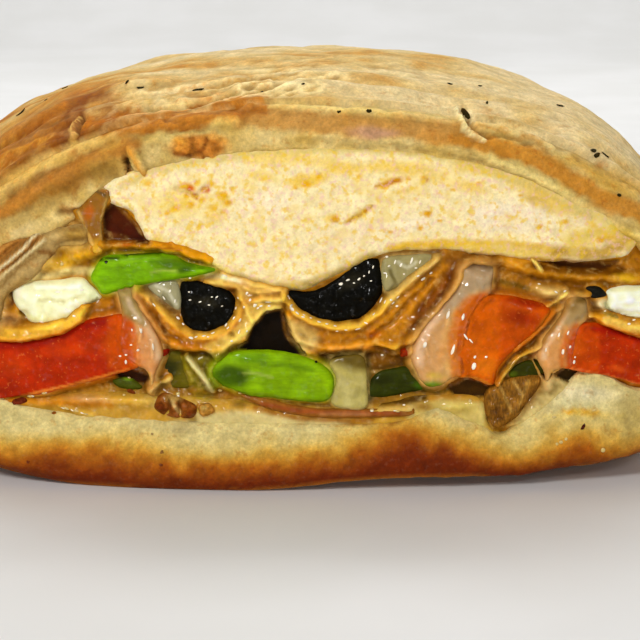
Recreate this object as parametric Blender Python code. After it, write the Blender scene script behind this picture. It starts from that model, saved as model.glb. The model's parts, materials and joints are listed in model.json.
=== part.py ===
"""Half of a baked stromboli, cut across its middle, with the filling showing at the cut.

Everything is worked out in millimetres in the loaf's own frame: X runs across the cut, Y from
the cut face to the closed far end, and Z up. An empty at the end carries all the pieces and
centres the loaf over its origin. The crust is one lofted shell with a deep pocket.
A plug of the pocket's shape is shared out between the layers and chunks of the filling: each
piece is cut by the pieces named before it, with a small gap, and the melted cheese fills the rest.
"""

import math

import bmesh
import bpy
import numpy as np
from mathutils import Vector, noise
from mathutils.geometry import delaunay_2d_cdt

MM = 0.001

# Driving sizes of the loaf, in millimetres.
HALF_WIDTH = 68.0
MID_HEIGHT = 25.0
CROWN_HEIGHT = 64.0
LENGTH = 132.0
TAPER_START = 82.0
POLE_HEIGHT = 20.0
UNDERSIDE = -1.2
FLATTENED = 1.3

# Behind the cut the loaf swells, squares its shoulders and bends a little to the left.
SWELL_DEPTH = 52.0
SWELL_SIDEWAYS = 0.08
SWELL_UP = 0.13
SQUARER = 0.25
BEND = -4.0

# The crust round the pocket, and the cut face.
POCKET_HALF_WIDTH = 60.0
POCKET_ROOF = 56.5
POCKET_FLOOR = 10.8
POCKET_END = LENGTH - 13.0
OUTER_EDGE_RADIUS = 5.0
INNER_EDGE_RADIUS = 1.8
FACE_BOW = 8.0
FACE_LEAN = 4.0
GAP = 0.35

# Bumps of the pocket's wall: centre across the loaf, spread, rise.
FLOOR_BUMPS = ((46.0, 6.5, 7.0), (31.0, 3.4, -2.4), (19.5, 4.0, 2.4))
ROOF_BUMPS = ((-44.0, 6.5, -4.5),)

RING_POINTS = 72
FRONT_OF_ALL = -25.0

# Ways of finishing a chunk's front, in millimetres: the radius of its edge, how far its middle
# swells forward, the size of its bumps, and the spacing of the points that carry them.
CUT_FLAT = (1.2, 0.5, 0.35, 6.0)
SWOLLEN = (2.0, 1.4, 0.25, 3.2)
CRISP = (0.8, 0.4, 0.15, 4.0)
SHRIVELLED = (1.6, 1.2, 0.9, 2.4)
SMALL = (0.8, 0.5, 0.2, 2.6)
LAYER = (1.6, 0.9, 0.6, 5.6)

CRUST = "crust"
MATERIALS = {
    CRUST: ((0.62, 0.40, 0.17), 0.75),
    "chicken": ((0.86, 0.72, 0.52), 0.55),
    "orange_cheese": ((0.70, 0.36, 0.06), 0.25),
    "pale_cheese": ((0.72, 0.56, 0.26), 0.30),
    "mozzarella": ((0.90, 0.86, 0.66), 0.25),
    "tomato": ((0.65, 0.11, 0.02), 0.20),
    "pepper": ((0.18, 0.42, 0.02), 0.30),
    "olive": ((0.012, 0.012, 0.012), 0.25),
    "onion": ((0.78, 0.76, 0.58), 0.25),
    "melt": ((0.78, 0.52, 0.34), 0.20),
    "sausage": ((0.25, 0.09, 0.03), 0.45),
    "ham": ((0.50, 0.20, 0.11), 0.40),
}


def clamp(value, low=0.0, high=1.0):
    return max(low, min(high, value))


def bell(x, centre, spread):
    return math.exp(-(((x - centre) / spread) ** 2))


def face_depth(x, z):
    """How far the cut face lies behind its foremost line: it bows back at the sides and leans at the top."""
    return FACE_BOW * (x / HALF_WIDTH) ** 2 + FACE_LEAN * z / CROWN_HEIGHT


# Closed curves in the XZ plane, as arrays of points, counterclockwise as seen from the cut.


def resampled(curve, count):
    """The closed curve as points at equal steps along it."""
    loop = np.vstack([curve, curve[:1]])
    steps = np.hypot(*np.diff(loop, axis=0).T)
    along = np.concatenate([[0.0], np.cumsum(steps)])
    wanted = np.linspace(0.0, along[-1], count, endpoint=False)
    return np.column_stack([np.interp(wanted, along, loop[:, axis]) for axis in (0, 1)])


def superellipse(angle, half_width, middle, up, down, power_up, power_down):
    c, s = math.cos(angle), math.sin(angle)
    power = power_up if s >= 0 else power_down
    x = half_width * math.copysign(abs(c) ** (2 / power), c)
    rise = up if s >= 0 else down
    return x, middle + rise * math.copysign(abs(s) ** (2 / power), s)


def section_curve(outline_at, count=RING_POINTS):
    dense = 720
    return resampled(np.array([outline_at(2 * math.pi * i / dense) for i in range(dense)]), count)


def loaf_outline(angle, swell=0.0):
    """The crust's outside, from the cut (no swell) to the thickest place (1)."""
    crown, depth = CROWN_HEIGHT - MID_HEIGHT, MID_HEIGHT - UNDERSIDE + FLATTENED
    return superellipse(angle, HALF_WIDTH, MID_HEIGHT, crown, depth, 2.05 + SQUARER * swell, 4.2)


def pocket_outline(angle, bumpy=1.0):
    """The crust's inside at the cut, with the bumps of its roof and floor."""
    roof, floor = POCKET_ROOF - MID_HEIGHT, MID_HEIGHT - POCKET_FLOOR
    x, z = superellipse(angle, POCKET_HALF_WIDTH, MID_HEIGHT, roof, floor, 2.1, 4.0)
    bumps = ROOF_BUMPS if z > MID_HEIGHT else FLOOR_BUMPS
    share = bumpy * clamp(abs(z - MID_HEIGHT) / 8.0)
    return x, z + share * sum(rise * bell(x, centre, spread) for centre, spread, rise in bumps)


def outward(curve):
    """The unit normals of a closed counterclockwise curve."""
    tangent = np.roll(curve, -1, axis=0) - np.roll(curve, 1, axis=0)
    normal = np.column_stack([tangent[:, 1], -tangent[:, 0]])
    return normal / np.linalg.norm(normal, axis=1, keepdims=True)


def smooth_outline(corners, count):
    """A closed Catmull-Rom curve through the corners, turned counterclockwise."""
    points = np.array(corners, float)
    x, z = points.T
    if np.sum(x * np.roll(z, -1) - z * np.roll(x, -1)) < 0:
        points = points[::-1]
    before, after, next_after = (np.roll(points, shift, axis=0) for shift in (1, -1, -2))
    curve = []
    for a, b, c, d in zip(before, points, after, next_after):
        for t in np.linspace(0.0, 1.0, 12, endpoint=False):
            pull = 2 * b + (c - a) * t + (2 * a - 5 * b + 4 * c - d) * t**2
            curve.append((pull + (3 * b - a - 3 * c + d) * t**3) / 2)
    return resampled(np.array(curve), count)


# Meshes.


def loft(rings, first_pole, last_pole):
    """A closed mesh over rings of equal count, ending in a point at both ends."""
    bm = bmesh.new()
    rows = [[bm.verts.new(point) for point in ring] for ring in rings]
    for row, following in zip(rows, rows[1:]):
        for i, vert in enumerate(row):
            j = (i + 1) % len(row)
            bm.faces.new((vert, row[j], following[j], following[i]))
    for row, point in ((rows[0], first_pole), (rows[-1], last_pole)):
        pole = bm.verts.new(point)
        for i, vert in enumerate(row):
            bm.faces.new((pole, vert, row[(i + 1) % len(row)]))
    bmesh.ops.recalc_face_normals(bm, faces=bm.faces)
    return bm


def make_object(name, bm, material=None):
    """The mesh as an object in metres. Without a material it is a cutter."""
    bmesh.ops.triangulate(bm, faces=bm.faces)
    bmesh.ops.scale(bm, vec=Vector((MM, MM, MM)), verts=bm.verts)
    mesh = bpy.data.meshes.new(name)
    bm.to_mesh(mesh)
    bm.free()
    obj = bpy.data.objects.new(name, mesh)
    bpy.context.scene.collection.objects.link(obj)
    if material:
        mesh.materials.append(material_named(material))
    return obj


def material_named(name):
    material = bpy.data.materials.get(name)
    if material is None:
        colour, roughness = MATERIALS[name]
        material = bpy.data.materials.new(name)
        material.use_nodes = True
        shader = material.node_tree.nodes["Principled BSDF"]
        shader.inputs["Base Color"].default_value = (*colour, 1.0)
        shader.inputs["Roughness"].default_value = roughness
        shader.inputs["Metallic"].default_value = 0.0
    return material


def keep_largest_body(obj):
    """Drops the loose scraps that a cut leaves."""
    bm = bmesh.new()
    bm.from_mesh(obj.data)
    left, bodies = set(bm.verts), []
    while left:
        body, edge = set(), {left.pop()}
        while edge:
            body |= edge
            edge = {e.other_vert(v) for v in edge for e in v.link_edges} - body
        left -= body
        bodies.append(body)
    spans = [max(v.co.y for v in body) - min(v.co.y for v in body) for body in bodies]
    sizes = [len(body) * span for body, span in zip(bodies, spans)]
    kept = bodies[sizes.index(max(sizes))]
    scraps = [v for body in bodies if body is not kept for v in body]
    bmesh.ops.delete(bm, geom=scraps, context="VERTS")
    bmesh.ops.triangulate(bm, faces=bm.faces)
    bm.to_mesh(obj.data)
    bm.free()


def boolean(obj, operation, others):
    """Applies one Boolean of obj with all the others at once, and removes them."""
    tools = bpy.data.collections.new("tools")
    bpy.context.scene.collection.children.link(tools)
    for other in others:
        bpy.context.scene.collection.objects.unlink(other)
        tools.objects.link(other)
    modifier = obj.modifiers.new(operation.lower(), "BOOLEAN")
    modifier.operation = operation
    modifier.operand_type = "COLLECTION"
    modifier.collection = tools
    graph = bpy.context.evaluated_depsgraph_get()
    made = bpy.data.meshes.new_from_object(obj.evaluated_get(graph))
    obj.modifiers.clear()
    obj.data = made
    for other in others:
        bpy.data.objects.remove(other)
    bpy.data.collections.remove(tools)
    keep_largest_body(obj)


# The crust.


def loaf_swell(y):
    return math.sin(math.pi * clamp(y / (2 * SWELL_DEPTH)))


def loaf_scale(y):
    """How the section shrinks towards the closed end: sideways, above and below the pole."""
    t = clamp((y - TAPER_START) / (LENGTH - TAPER_START))
    return (1 - t**2.3) ** (1 / 2.3), (1 - t**2.1) ** (1 / 2.1), (1 - t**4.0) ** (1 / 4.0)


def loaf_rings():
    """The outside, from the ring nearest the pole to the rounded edge of the cut face."""
    turns = np.linspace(math.pi / 2, 0.0, 8)[1:]
    tapered = [TAPER_START + (LENGTH - TAPER_START) * math.sin(turn) for turn in turns]
    straight = [66.0, 52.0, 40.0, 31.0, 24.0, 18.5, 14.0, 10.0, OUTER_EDGE_RADIUS]
    rings = []
    for y in tapered + straight:
        swell, (sideways, above, below) = loaf_swell(y), loaf_scale(y)
        curve = section_curve(lambda angle, swell=swell: loaf_outline(angle, swell))
        rings.append([])
        for x, z in curve:
            stretch = above * (1 + SWELL_UP * swell) if z > POLE_HEIGHT else below
            at_x = x * sideways * (1 + SWELL_SIDEWAYS * swell) + BEND * swell
            at_z = POLE_HEIGHT + (z - POLE_HEIGHT) * stretch
            rings[-1].append(Vector((at_x, y + (1 - y / LENGTH) * face_depth(x, z), at_z)))
    return rings


def edge_depth(distance, thickness):
    """How far the cut face curves back, at this distance in from the outside of the crust."""
    outer = min(OUTER_EDGE_RADIUS, 0.5 * thickness)
    inner = min(INNER_EDGE_RADIUS, 0.3 * thickness)
    depth = 0.0
    if distance < outer:
        depth = OUTER_EDGE_RADIUS * (1 - math.sqrt(1 - ((outer - distance) / outer) ** 2))
    elif distance > thickness - inner:
        inward = distance - (thickness - inner)
        depth = INNER_EDGE_RADIUS * (1 - math.sqrt(clamp(1 - (inward / inner) ** 2)))
    return depth


def rim_rings():
    """The cut face of the crust, from its outside to the mouth of the pocket."""
    outside, inside = section_curve(loaf_outline), section_curve(pocket_outline)
    rings = []
    for share in (0.05, 0.16, 0.36, 0.6, 0.86, 0.95, 1.0):
        rings.append([])
        for (x0, z0), (x1, z1) in zip(outside, inside):
            x, z = x0 + (x1 - x0) * share, z0 + (z1 - z0) * share
            thickness = math.hypot(x1 - x0, z1 - z0)
            y = face_depth(x, z) + edge_depth(share * thickness, thickness)
            rings[-1].append(Vector((x, y, z)))
    return rings


def pocket_rings(inset=0.0):
    """The pocket's wall from its mouth to its end, drawn in by inset for the filling. Its bumps fade."""
    rings = []
    for depth in (14.0, 58.0, 84.0, 101.0, 112.0, 117.0):
        bumpy = clamp((84.0 - depth) / 70.0)
        curve = section_curve(lambda angle, bumpy=bumpy: pocket_outline(angle, bumpy))
        curve = curve - inset * outward(curve)
        y = depth * (1 - 3 * inset / POCKET_END)
        sideways, above, below = loaf_scale(depth * LENGTH / POCKET_END)
        rings.append([])
        for x, z in curve:
            at_z = POLE_HEIGHT + (z - POLE_HEIGHT) * (above if z > POLE_HEIGHT else below)
            at_y = y + (1 - y / LENGTH) * face_depth(x, z)
            rings[-1].append(Vector((x * sideways, at_y, at_z)))
    return rings


def crust_relief(point):
    """How far the baked skin stands out: slow lumps, wrinkles behind the cut, and pleats at the end."""
    x, y, z = point
    lumps = 1.3 * noise.noise(Vector((x, y, z)) / 24.0) + 0.6 * noise.noise(Vector((z, x, y)) / 9.0)
    lumps *= clamp(0.3 + z / 16.0)
    above = clamp((z - 22.0) / 14.0)
    wander = 2.6 * noise.noise(Vector((x, 0.0, 7.0)) / 21.0)
    near_cut = bell(y, 16.0, 11.0)
    wrinkles = 0.8 * near_cut * math.sin((y - face_depth(x, z) + wander) * math.pi / 4.6)
    shoulder = 1.6 * bell(x, -46.0, 13.0) * bell(y, 24.0, 18.0)
    around = math.atan2(z - POLE_HEIGHT, x)
    towards_end = clamp((y - TAPER_START - 14.0) / (LENGTH - TAPER_START - 14.0))
    pleats = 1.9 * math.sin(math.pi * towards_end) * math.cos(9 * around + 0.05 * y)
    return lumps * clamp(y / 6.0) + above * (wrinkles + shoulder + pleats)


def smooth_step(value):
    value = clamp(value)
    return value * value * (3 - 2 * value)


def resting_height(point):
    """The height of a point of the crust, pressed flat below and curling up at the right of the cut."""
    x, y, z = point
    curl = 2.2 * smooth_step((x + 14.0) / 28.0) + 0.8 * smooth_step((x - 33.0) / 9.0)
    curl *= smooth_step(1 - y / 42.0) * smooth_step((20.0 - z) / 16.0)
    return max(z, UNDERSIDE) + curl


def make_crust():
    """The baked dough: a thick shell, closed at the far end, with a flat underside."""
    rings = loaf_rings()
    outside = len(rings) * RING_POINTS
    rings += rim_rings() + pocket_rings()
    bm = loft(rings, (0.0, LENGTH, POLE_HEIGHT), (0.0, POCKET_END, POLE_HEIGHT))
    bm.verts.ensure_lookup_table()
    bm.normal_update()
    moves = [(v, v.normal * crust_relief(v.co)) for v in bm.verts[:outside]]
    for vert, move in moves:
        vert.co += move
    for vert in bm.verts[: outside + 4 * RING_POINTS]:
        vert.co.z = resting_height(vert.co)
    return make_object("bread_crust", bm, CRUST)


def make_plug():
    """The pocket's shape, a gap smaller, and open towards the cut."""
    rings = pocket_rings(GAP)
    rings.insert(0, [Vector((x, FRONT_OF_ALL, z)) for x, _, z in rings[0]])
    front, back = (0.0, FRONT_OF_ALL, 32.0), (0.0, POCKET_END - 3 * GAP, POLE_HEIGHT)
    return make_object("plug", loft(rings, front, back))


# The filling.


def distance_to_edge(point, outline):
    """How far a point lies from a closed outline."""
    starts, spans = outline, np.roll(outline, -1, axis=0) - outline
    share = np.sum((point - starts) * spans, axis=1) / np.sum(spans**2, axis=1)
    nearest = starts + np.clip(share, 0.0, 1.0)[:, None] * spans
    return np.min(np.hypot(*(point - nearest).T))


def inside(point, outline):
    (x, z), after = point, np.roll(outline, -1, axis=0)
    crosses = (outline[:, 1] > z) != (after[:, 1] > z)
    rise = np.where(crosses, after[:, 1] - outline[:, 1], 1.0)
    at_x = outline[:, 0] + (z - outline[:, 1]) / rise * (after[:, 0] - outline[:, 0])
    return bool(np.sum(crosses & (x < at_x)) % 2)


def front_points(outline, radius, spacing):
    """Points within the outline that carry its rounded edge and the bumps of its middle."""
    inwards = -outward(outline)
    wanted = [(p, 0.8 * depth) for depth in (0.35 * radius, radius) for p in outline + depth * inwards]
    low, high = outline.min(axis=0), outline.max(axis=0)
    for row, z in enumerate(np.arange(low[1], high[1], 0.87 * spacing)):
        for x in np.arange(low[0] + 0.5 * spacing * (row % 2), high[0], spacing):
            wanted.append((np.array((x, z)), radius + 0.45 * spacing))
    kept = []
    for point, room in wanted:
        if not inside(point, outline) or distance_to_edge(point, outline) < room:
            continue
        if all(np.hypot(*(point - other)) > 0.62 * spacing for other in kept):
            kept.append(point)
    return kept


def swelling(distance, radius, rise):
    """How far forward a rounded front stands at this distance in from its edge."""
    edge = math.sqrt(1 - (1 - min(distance / radius, 1.0)) ** 2)
    return rise * (0.7 * edge + 0.3 * (1 - math.exp(-distance / (2.5 * radius))))


def chunk_mesh(outline, near, far, finish=None):
    """A piece with this outline, from near to far behind the cut face, its front rounded and uneven."""
    radius, rise, bumps, spacing = finish or (1.0, 0.0, 0.0, 1.0)
    within = front_points(outline, radius, spacing) if finish else []
    count = len(outline)
    flat = [Vector(p) for p in (*outline, *within)]
    sides = [(i, (i + 1) % count) for i in range(count)]
    points, _, faces, *_ = delaunay_2d_cdt(flat, sides, [], 1, 1e-6)
    bm = bmesh.new()
    front = []
    for i, (x, z) in enumerate(points):
        forward = 0.0
        if i >= count:
            forward = swelling(distance_to_edge(np.array((x, z)), outline), radius, rise)
            forward += bumps * noise.noise(Vector((x, near, z)) / 2.2)
        front.append(bm.verts.new((x, near + rise - forward, z)))
    for face in faces:
        bm.faces.new([front[i] for i in face])
    back = [bm.verts.new((x, far, z)) for x, z in outline]
    for i, j in sides:
        bm.faces.new((front[i], front[j], back[j], back[i]))
    bm.faces.new(back)
    for vert in bm.verts:
        fade = 1 - clamp(vert.co.y / LENGTH)
        vert.co.y += fade * face_depth(vert.co.x, vert.co.z)
    bmesh.ops.recalc_face_normals(bm, faces=bm.faces)
    return bm


class Piece:
    """One chunk or layer of the filling: where it shows at the cut, and how deep it runs."""

    def __init__(self, name, material, near, far, finish, corners, count=22, walls=False):
        self.name, self.material = name, material
        self.near, self.far, self.finish = near, far, finish
        self.corners, self.count, self.walls = corners, count, walls

    def bounds(self):
        xs, zs = zip(*self.corners)
        return min(xs) - 2, max(xs) + 2, min(zs) - 2, max(zs) + 2

    def meets(self, other):
        x0, x1, z0, z1 = self.bounds()
        u0, u1, w0, w1 = other.bounds()
        return x0 < u1 and u0 < x1 and z0 < w1 and w0 < z1

    def cutter(self):
        outline = smooth_outline(self.corners, self.count)
        outline = outline + GAP * outward(outline)
        return make_object("cutter", chunk_mesh(outline, FRONT_OF_ALL, self.far + GAP))

    def solid(self):
        outline = smooth_outline(self.corners, self.count)
        return make_object(self.name, chunk_mesh(outline, self.near, self.far, self.finish), self.material)


# Chunks in order of rank: a piece is cut back to clear each of those before it.
CHUNKS = (
    Piece("pepper_strip_upper", "pepper", -0.6, 14.0, SWOLLEN,
          ((-38.8, 34.5), (-37.0, 38.2), (-31.0, 39.3), (-24.0, 39.9), (-16.6, 36.7), (-24.3, 35.2),
           (-32.5, 33.3), (-36.4, 32.3))),
    Piece("cheese_string_left", "melt", -0.4, 5.0, SMALL,
          ((-39.5, 50.4), (-35.0, 51.2), (-31.6, 50.2), (-33.4, 47.2), (-36.0, 43.7), (-36.2, 39.9),
           (-38.6, 39.4), (-38.5, 44.2)), walls=True),
    Piece("olive_left", "olive", 0.2, 12.0, SHRIVELLED,
          ((-23.1, 34.2), (-19.8, 34.4), (-16.4, 33.8), (-14.2, 31.6), (-14.9, 29.0), (-17.8, 26.6),
           (-20.7, 26.1), (-22.9, 27.7), (-23.7, 31.0)), count=20),
    Piece("olive_right", "olive", 0.2, 13.0, SHRIVELLED,
          ((-6.4, 33.5), (-1.8, 33.3), (2.8, 35.2), (5.7, 38.0), (9.3, 38.2), (10.6, 34.5), (9.7, 32.1),
           (7.0, 29.5), (2.9, 28.1), (-0.3, 28.8), (-4.4, 30.8))),
    Piece("onion_bit_left", "onion", 0.8, 8.0, SMALL,
          ((-28.9, 34.0), (-24.2, 34.8), (-24.2, 30.2), (-26.1, 31.2)), count=14),
    Piece("onion_bit_right", "onion", 0.8, 8.0, SMALL,
          ((11.0, 38.4), (15.4, 39.3), (19.6, 38.9), (15.1, 35.5), (11.5, 33.2)), count=16),
    Piece("olive_bit_right", "olive", 0.4, 6.0, SMALL,
          ((45.1, 33.3), (47.4, 33.3), (48.6, 31.7), (46.0, 31.5)), count=12),
    Piece("white_melt_left", "melt", -1.1, 7.0, SWOLLEN,
          ((-33.6, 33.0), (-31.8, 33.4), (-29.6, 29.3), (-27.5, 25.8), (-26.5, 22.9), (-27.0, 20.6),
           (-28.6, 17.0), (-29.6, 19.6), (-31.2, 21.2), (-30.8, 25.6), (-31.4, 29.2))),
    Piece("white_melt_middle", "melt", -1.1, 8.0, SWOLLEN,
          ((24.6, 37.2), (28.6, 37.0), (27.4, 32.6), (23.6, 30.4), (22.0, 26.0), (21.4, 22.4), (22.4, 19.4),
           (20.6, 17.4), (18.0, 17.3), (15.8, 20.4), (15.4, 23.1), (16.6, 26.3), (20.3, 29.6))),
    Piece("white_melt_right", "melt", -1.1, 7.0, SWOLLEN,
          ((42.2, 31.2), (44.6, 31.0), (43.0, 27.0), (42.0, 23.6), (41.4, 20.2), (39.0, 17.0),
           (37.6, 20.6), (37.4, 23.7), (39.6, 26.8)), count=22),
    Piece("tomato_slice_left", "tomato", -0.4, 62.0, CUT_FLAT,
          ((-64.0, 22.6), (-54.6, 23.7), (-46.0, 24.9), (-39.9, 27.7), (-36.3, 28.6), (-30.6, 29.1),
           (-29.6, 24.9), (-31.0, 20.2), (-42.5, 16.5), (-49.9, 14.6), (-64.0, 14.4)), walls=True),
    Piece("tomato_chunk_middle", "tomato", -0.6, 40.0, SWOLLEN,
          ((22.0, 31.4), (25.0, 32.6), (28.6, 32.5), (33.7, 31.8), (38.8, 29.9), (37.3, 26.6), (33.8, 23.6),
           (30.3, 20.1), (29.2, 17.0), (25.0, 18.5), (21.0, 19.0), (19.4, 24.0))),
    Piece("tomato_slice_right", "tomato", -0.4, 62.0, CUT_FLAT,
          ((40.6, 26.4), (45.2, 27.3), (48.7, 26.9), (54.5, 24.6), (64.0, 21.6), (64.0, 13.6), (54.7, 16.4),
           (48.9, 18.2), (42.3, 19.6), (40.0, 22.6)), walls=True),
    Piece("mozzarella_left", "mozzarella", 0.0, 26.0, SWOLLEN,
          ((-52.3, 31.6), (-48.4, 34.2), (-40.6, 35.3), (-37.4, 32.4), (-40.2, 29.0), (-43.7, 26.9),
           (-49.6, 27.4)), walls=True),
    Piece("mozzarella_right", "mozzarella", 0.0, 26.0, SWOLLEN,
          ((49.9, 29.8), (51.4, 31.8), (54.4, 32.3), (59.0, 30.8), (59.8, 27.6), (54.5, 26.6),
           (51.0, 27.6)), count=20, walls=True),
    Piece("pepper_strip_middle", "pepper", -0.6, 15.0, SWOLLEN,
          ((-18.4, 19.5), (-15.1, 21.6), (-13.0, 23.1), (-7.1, 23.3), (-1.3, 22.3), (1.3, 19.6), (2.2, 17.1),
           (0.3, 14.9), (-5.9, 15.7), (-11.8, 16.8), (-16.5, 17.3))),
    Piece("pepper_strip_left", "pepper", 1.6, 15.0, CRISP,
          ((-27.2, 19.8), (-25.3, 22.7), (-19.4, 22.6), (-15.2, 22.6), (-16.0, 20.0), (-18.2, 17.0),
           (-23.7, 16.3), (-26.7, 17.1)), count=20),
    Piece("pepper_strip_right", "pepper", 1.4, 15.0, CRISP,
          ((8.4, 17.5), (10.1, 19.4), (15.6, 20.2), (18.1, 18.2), (20.6, 17.0), (15.0, 15.7), (8.5, 15.0)),
          count=20),
    Piece("pepper_bit_right", "pepper", 1.2, 9.0, SMALL,
          ((31.4, 18.7), (34.0, 20.7), (37.0, 20.7), (37.6, 19.2), (33.9, 18.6)), count=14),
    Piece("pepper_bit_left", "pepper", 1.2, 8.0, SMALL,
          ((-35.3, 17.5), (-33.4, 18.0), (-31.4, 17.5), (-30.2, 16.4), (-31.6, 15.9), (-34.3, 16.3)),
          count=14),
    Piece("onion_piece", "onion", 0.4, 10.0, CRISP,
          ((1.9, 14.2), (2.7, 18.4), (1.6, 21.2), (4.2, 22.3), (7.4, 22.0), (8.0, 17.5), (7.8, 13.5),
           (5.1, 13.2)), count=20),
    Piece("sausage_crumb_left", "sausage", 0.0, 9.0, SHRIVELLED,
          ((-28.3, 13.7), (-26.6, 15.6), (-23.0, 14.6), (-20.9, 13.4), (-21.6, 11.6), (-24.9, 11.6),
           (-27.6, 12.3)), count=18, walls=True),
    Piece("sausage_crumb_small", "sausage", 0.2, 6.0, SMALL,
          ((-20.4, 13.6), (-18.7, 14.0), (-17.9, 12.8), (-19.3, 11.9), (-20.3, 12.2)), count=12),
    Piece("meat_chunk_right", "sausage", 0.2, 11.0, SHRIVELLED,
          ((27.9, 14.7), (29.6, 17.0), (33.9, 18.2), (37.6, 18.2), (37.2, 16.1), (35.2, 13.6), (33.6, 11.4),
           (30.6, 9.6), (28.5, 11.0)), count=20, walls=True),
    Piece("ham_slice", "ham", 0.4, 96.0, SMALL,
          ((-13.4, 15.6), (-9.5, 15.3), (-5.1, 14.0), (1.0, 13.2), (11.0, 13.3), (15.4, 13.6), (15.2, 12.1),
           (8.4, 11.8), (0.0, 11.8), (-6.2, 12.6), (-10.5, 13.9)), walls=True),
    Piece("bread_fold_left", CRUST, -0.8, 92.0, SWOLLEN,
          ((-64.0, 37.0), (-54.2, 40.4), (-45.4, 43.3), (-38.9, 44.0), (-39.8, 40.6), (-43.8, 40.3),
           (-45.9, 37.7), (-49.1, 34.4), (-53.4, 31.4), (-55.4, 25.8), (-64.0, 24.6)), walls=True),
)

CHICKEN = Piece("chicken_slice", "chicken", 0.2, LENGTH, CUT_FLAT,
                ((-36.4, 51.6), (-31.3, 46.0), (-28.5, 41.3), (-19.2, 38.1), (-12.5, 35.0), (-3.3, 33.6),
                 (4.2, 36.7), (10.8, 39.7), (20.1, 40.1), (30.2, 38.8), (41.3, 37.7), (49.3, 38.1),
                 (54.0, 41.0), (62.0, 60.0), (30.0, 72.0), (-24.0, 72.0)), count=36, walls=True)
BASE = Piece("pale_cheese_base", "pale_cheese", 0.3, LENGTH, LAYER,
             ((-66.0, 14.0), (-54.8, 14.6), (-47.8, 14.4), (-37.3, 15.4), (-28.8, 15.3), (-20.3, 14.8),
              (-12.7, 14.4), (-3.4, 13.6), (8.4, 13.6), (15.5, 15.0), (22.0, 15.2), (27.0, 14.6),
              (28.5, 11.0), (26.0, 4.0), (-20.0, 2.0), (-66.0, 4.0)), count=36, walls=True)
MELT = Piece("orange_cheese_melt", "orange_cheese", 0.8, LENGTH, LAYER,
             ((-66.0, 10.0), (-66.0, 60.0), (-20.0, 74.0), (30.0, 74.0), (66.0, 60.0), (66.0, 10.0),
              (40.0, 6.0), (-40.0, 6.0)), count=40, walls=True)

# Dark hollows between the pieces: outline at the cut and how deep they go.
HOLLOWS = (
    Piece("hollow", "melt", 0.0, 16.0, None,
          ((-33.2, 47.2), (-31.4, 44.8), (-28.9, 40.2), (-35.4, 40.2), (-35.7, 43.8)), count=16),
    Piece("hollow", "melt", 0.0, 14.0, None,
          ((-9.0, 29.8), (-6.6, 30.5), (-6.7, 28.6), (-5.7, 25.6), (-3.4, 23.2), (-7.1, 23.0), (-13.3, 24.3),
           (-11.6, 26.4)), count=16),
    Piece("hollow", "melt", 0.0, 8.0, None,
          ((9.0, 22.6), (11.6, 23.0), (14.2, 22.4), (14.6, 21.2), (11.0, 20.4), (9.0, 20.2)), count=12),
    Piece("hollow", "melt", 0.0, 9.0, None,
          ((-34.4, 18.9), (-32.5, 20.0), (-29.6, 19.0), (-29.8, 17.8), (-31.5, 18.0), (-33.6, 18.4)),
          count=12),
    Piece("hollow", "melt", 0.0, 9.0, None,
          ((21.6, 17.6), (25.0, 18.2), (29.2, 16.6), (27.1, 15.7), (22.6, 16.0)), count=12),
    Piece("hollow", "melt", 0.0, 12.0, None,
          ((36.0, 38.6), (43.0, 38.0), (50.2, 37.0), (47.3, 36.2), (40.4, 36.9)), count=14),
)


def clear_of(piece, others):
    return [other.cutter() for other in others if other.meets(piece)]


def make_filling():
    """Cuts every piece by those before it and, where it reaches the crust, by the pocket's wall."""
    made = []
    layers = (CHICKEN, BASE, MELT)
    for rank, piece in enumerate(CHUNKS + layers):
        obj = piece.solid()
        before = [other for other in (CHUNKS + layers)[:rank] if other.meets(piece)]
        if piece.walls:
            boolean(obj, "INTERSECT", [make_plug()])
        if piece in layers:
            before += HOLLOWS
        if before:
            boolean(obj, "DIFFERENCE", clear_of(piece, before))
        made.append(obj)
    return made


def main():
    for obj in list(bpy.data.objects):
        bpy.data.objects.remove(obj)
    crust = make_crust()
    pieces = [crust, *make_filling()]
    corners = np.array([vert.co for vert in crust.data.vertices])
    low, high = corners.min(axis=0), corners.max(axis=0)
    loaf = bpy.data.objects.new("stromboli_half", None)
    loaf.location = (-(low[0] + high[0]) / 2, -(low[1] + high[1]) / 2, -low[2])
    bpy.context.scene.collection.objects.link(loaf)
    for piece in pieces:
        piece.parent = loaf


main()
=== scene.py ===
"""The dressed look of half a baked stromboli, standing on its own on a pale floor.

Shapes are worked out in millimetres in the loaf's own frame, as its solids are: X runs across the
cut, Y from the cut face to the closed far end, and Z up. Places on the cut face are given as
(across, down) pixels of the 640-pixel view, and each mesh is shaped and tinted there by strokes.
"""

import itertools
import json
import math

import bmesh
import bpy
import numpy as np
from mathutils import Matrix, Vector, noise as relief_noise
from mathutils.bvhtree import BVHTree
from mathutils.geometry import delaunay_2d_cdt

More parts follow.
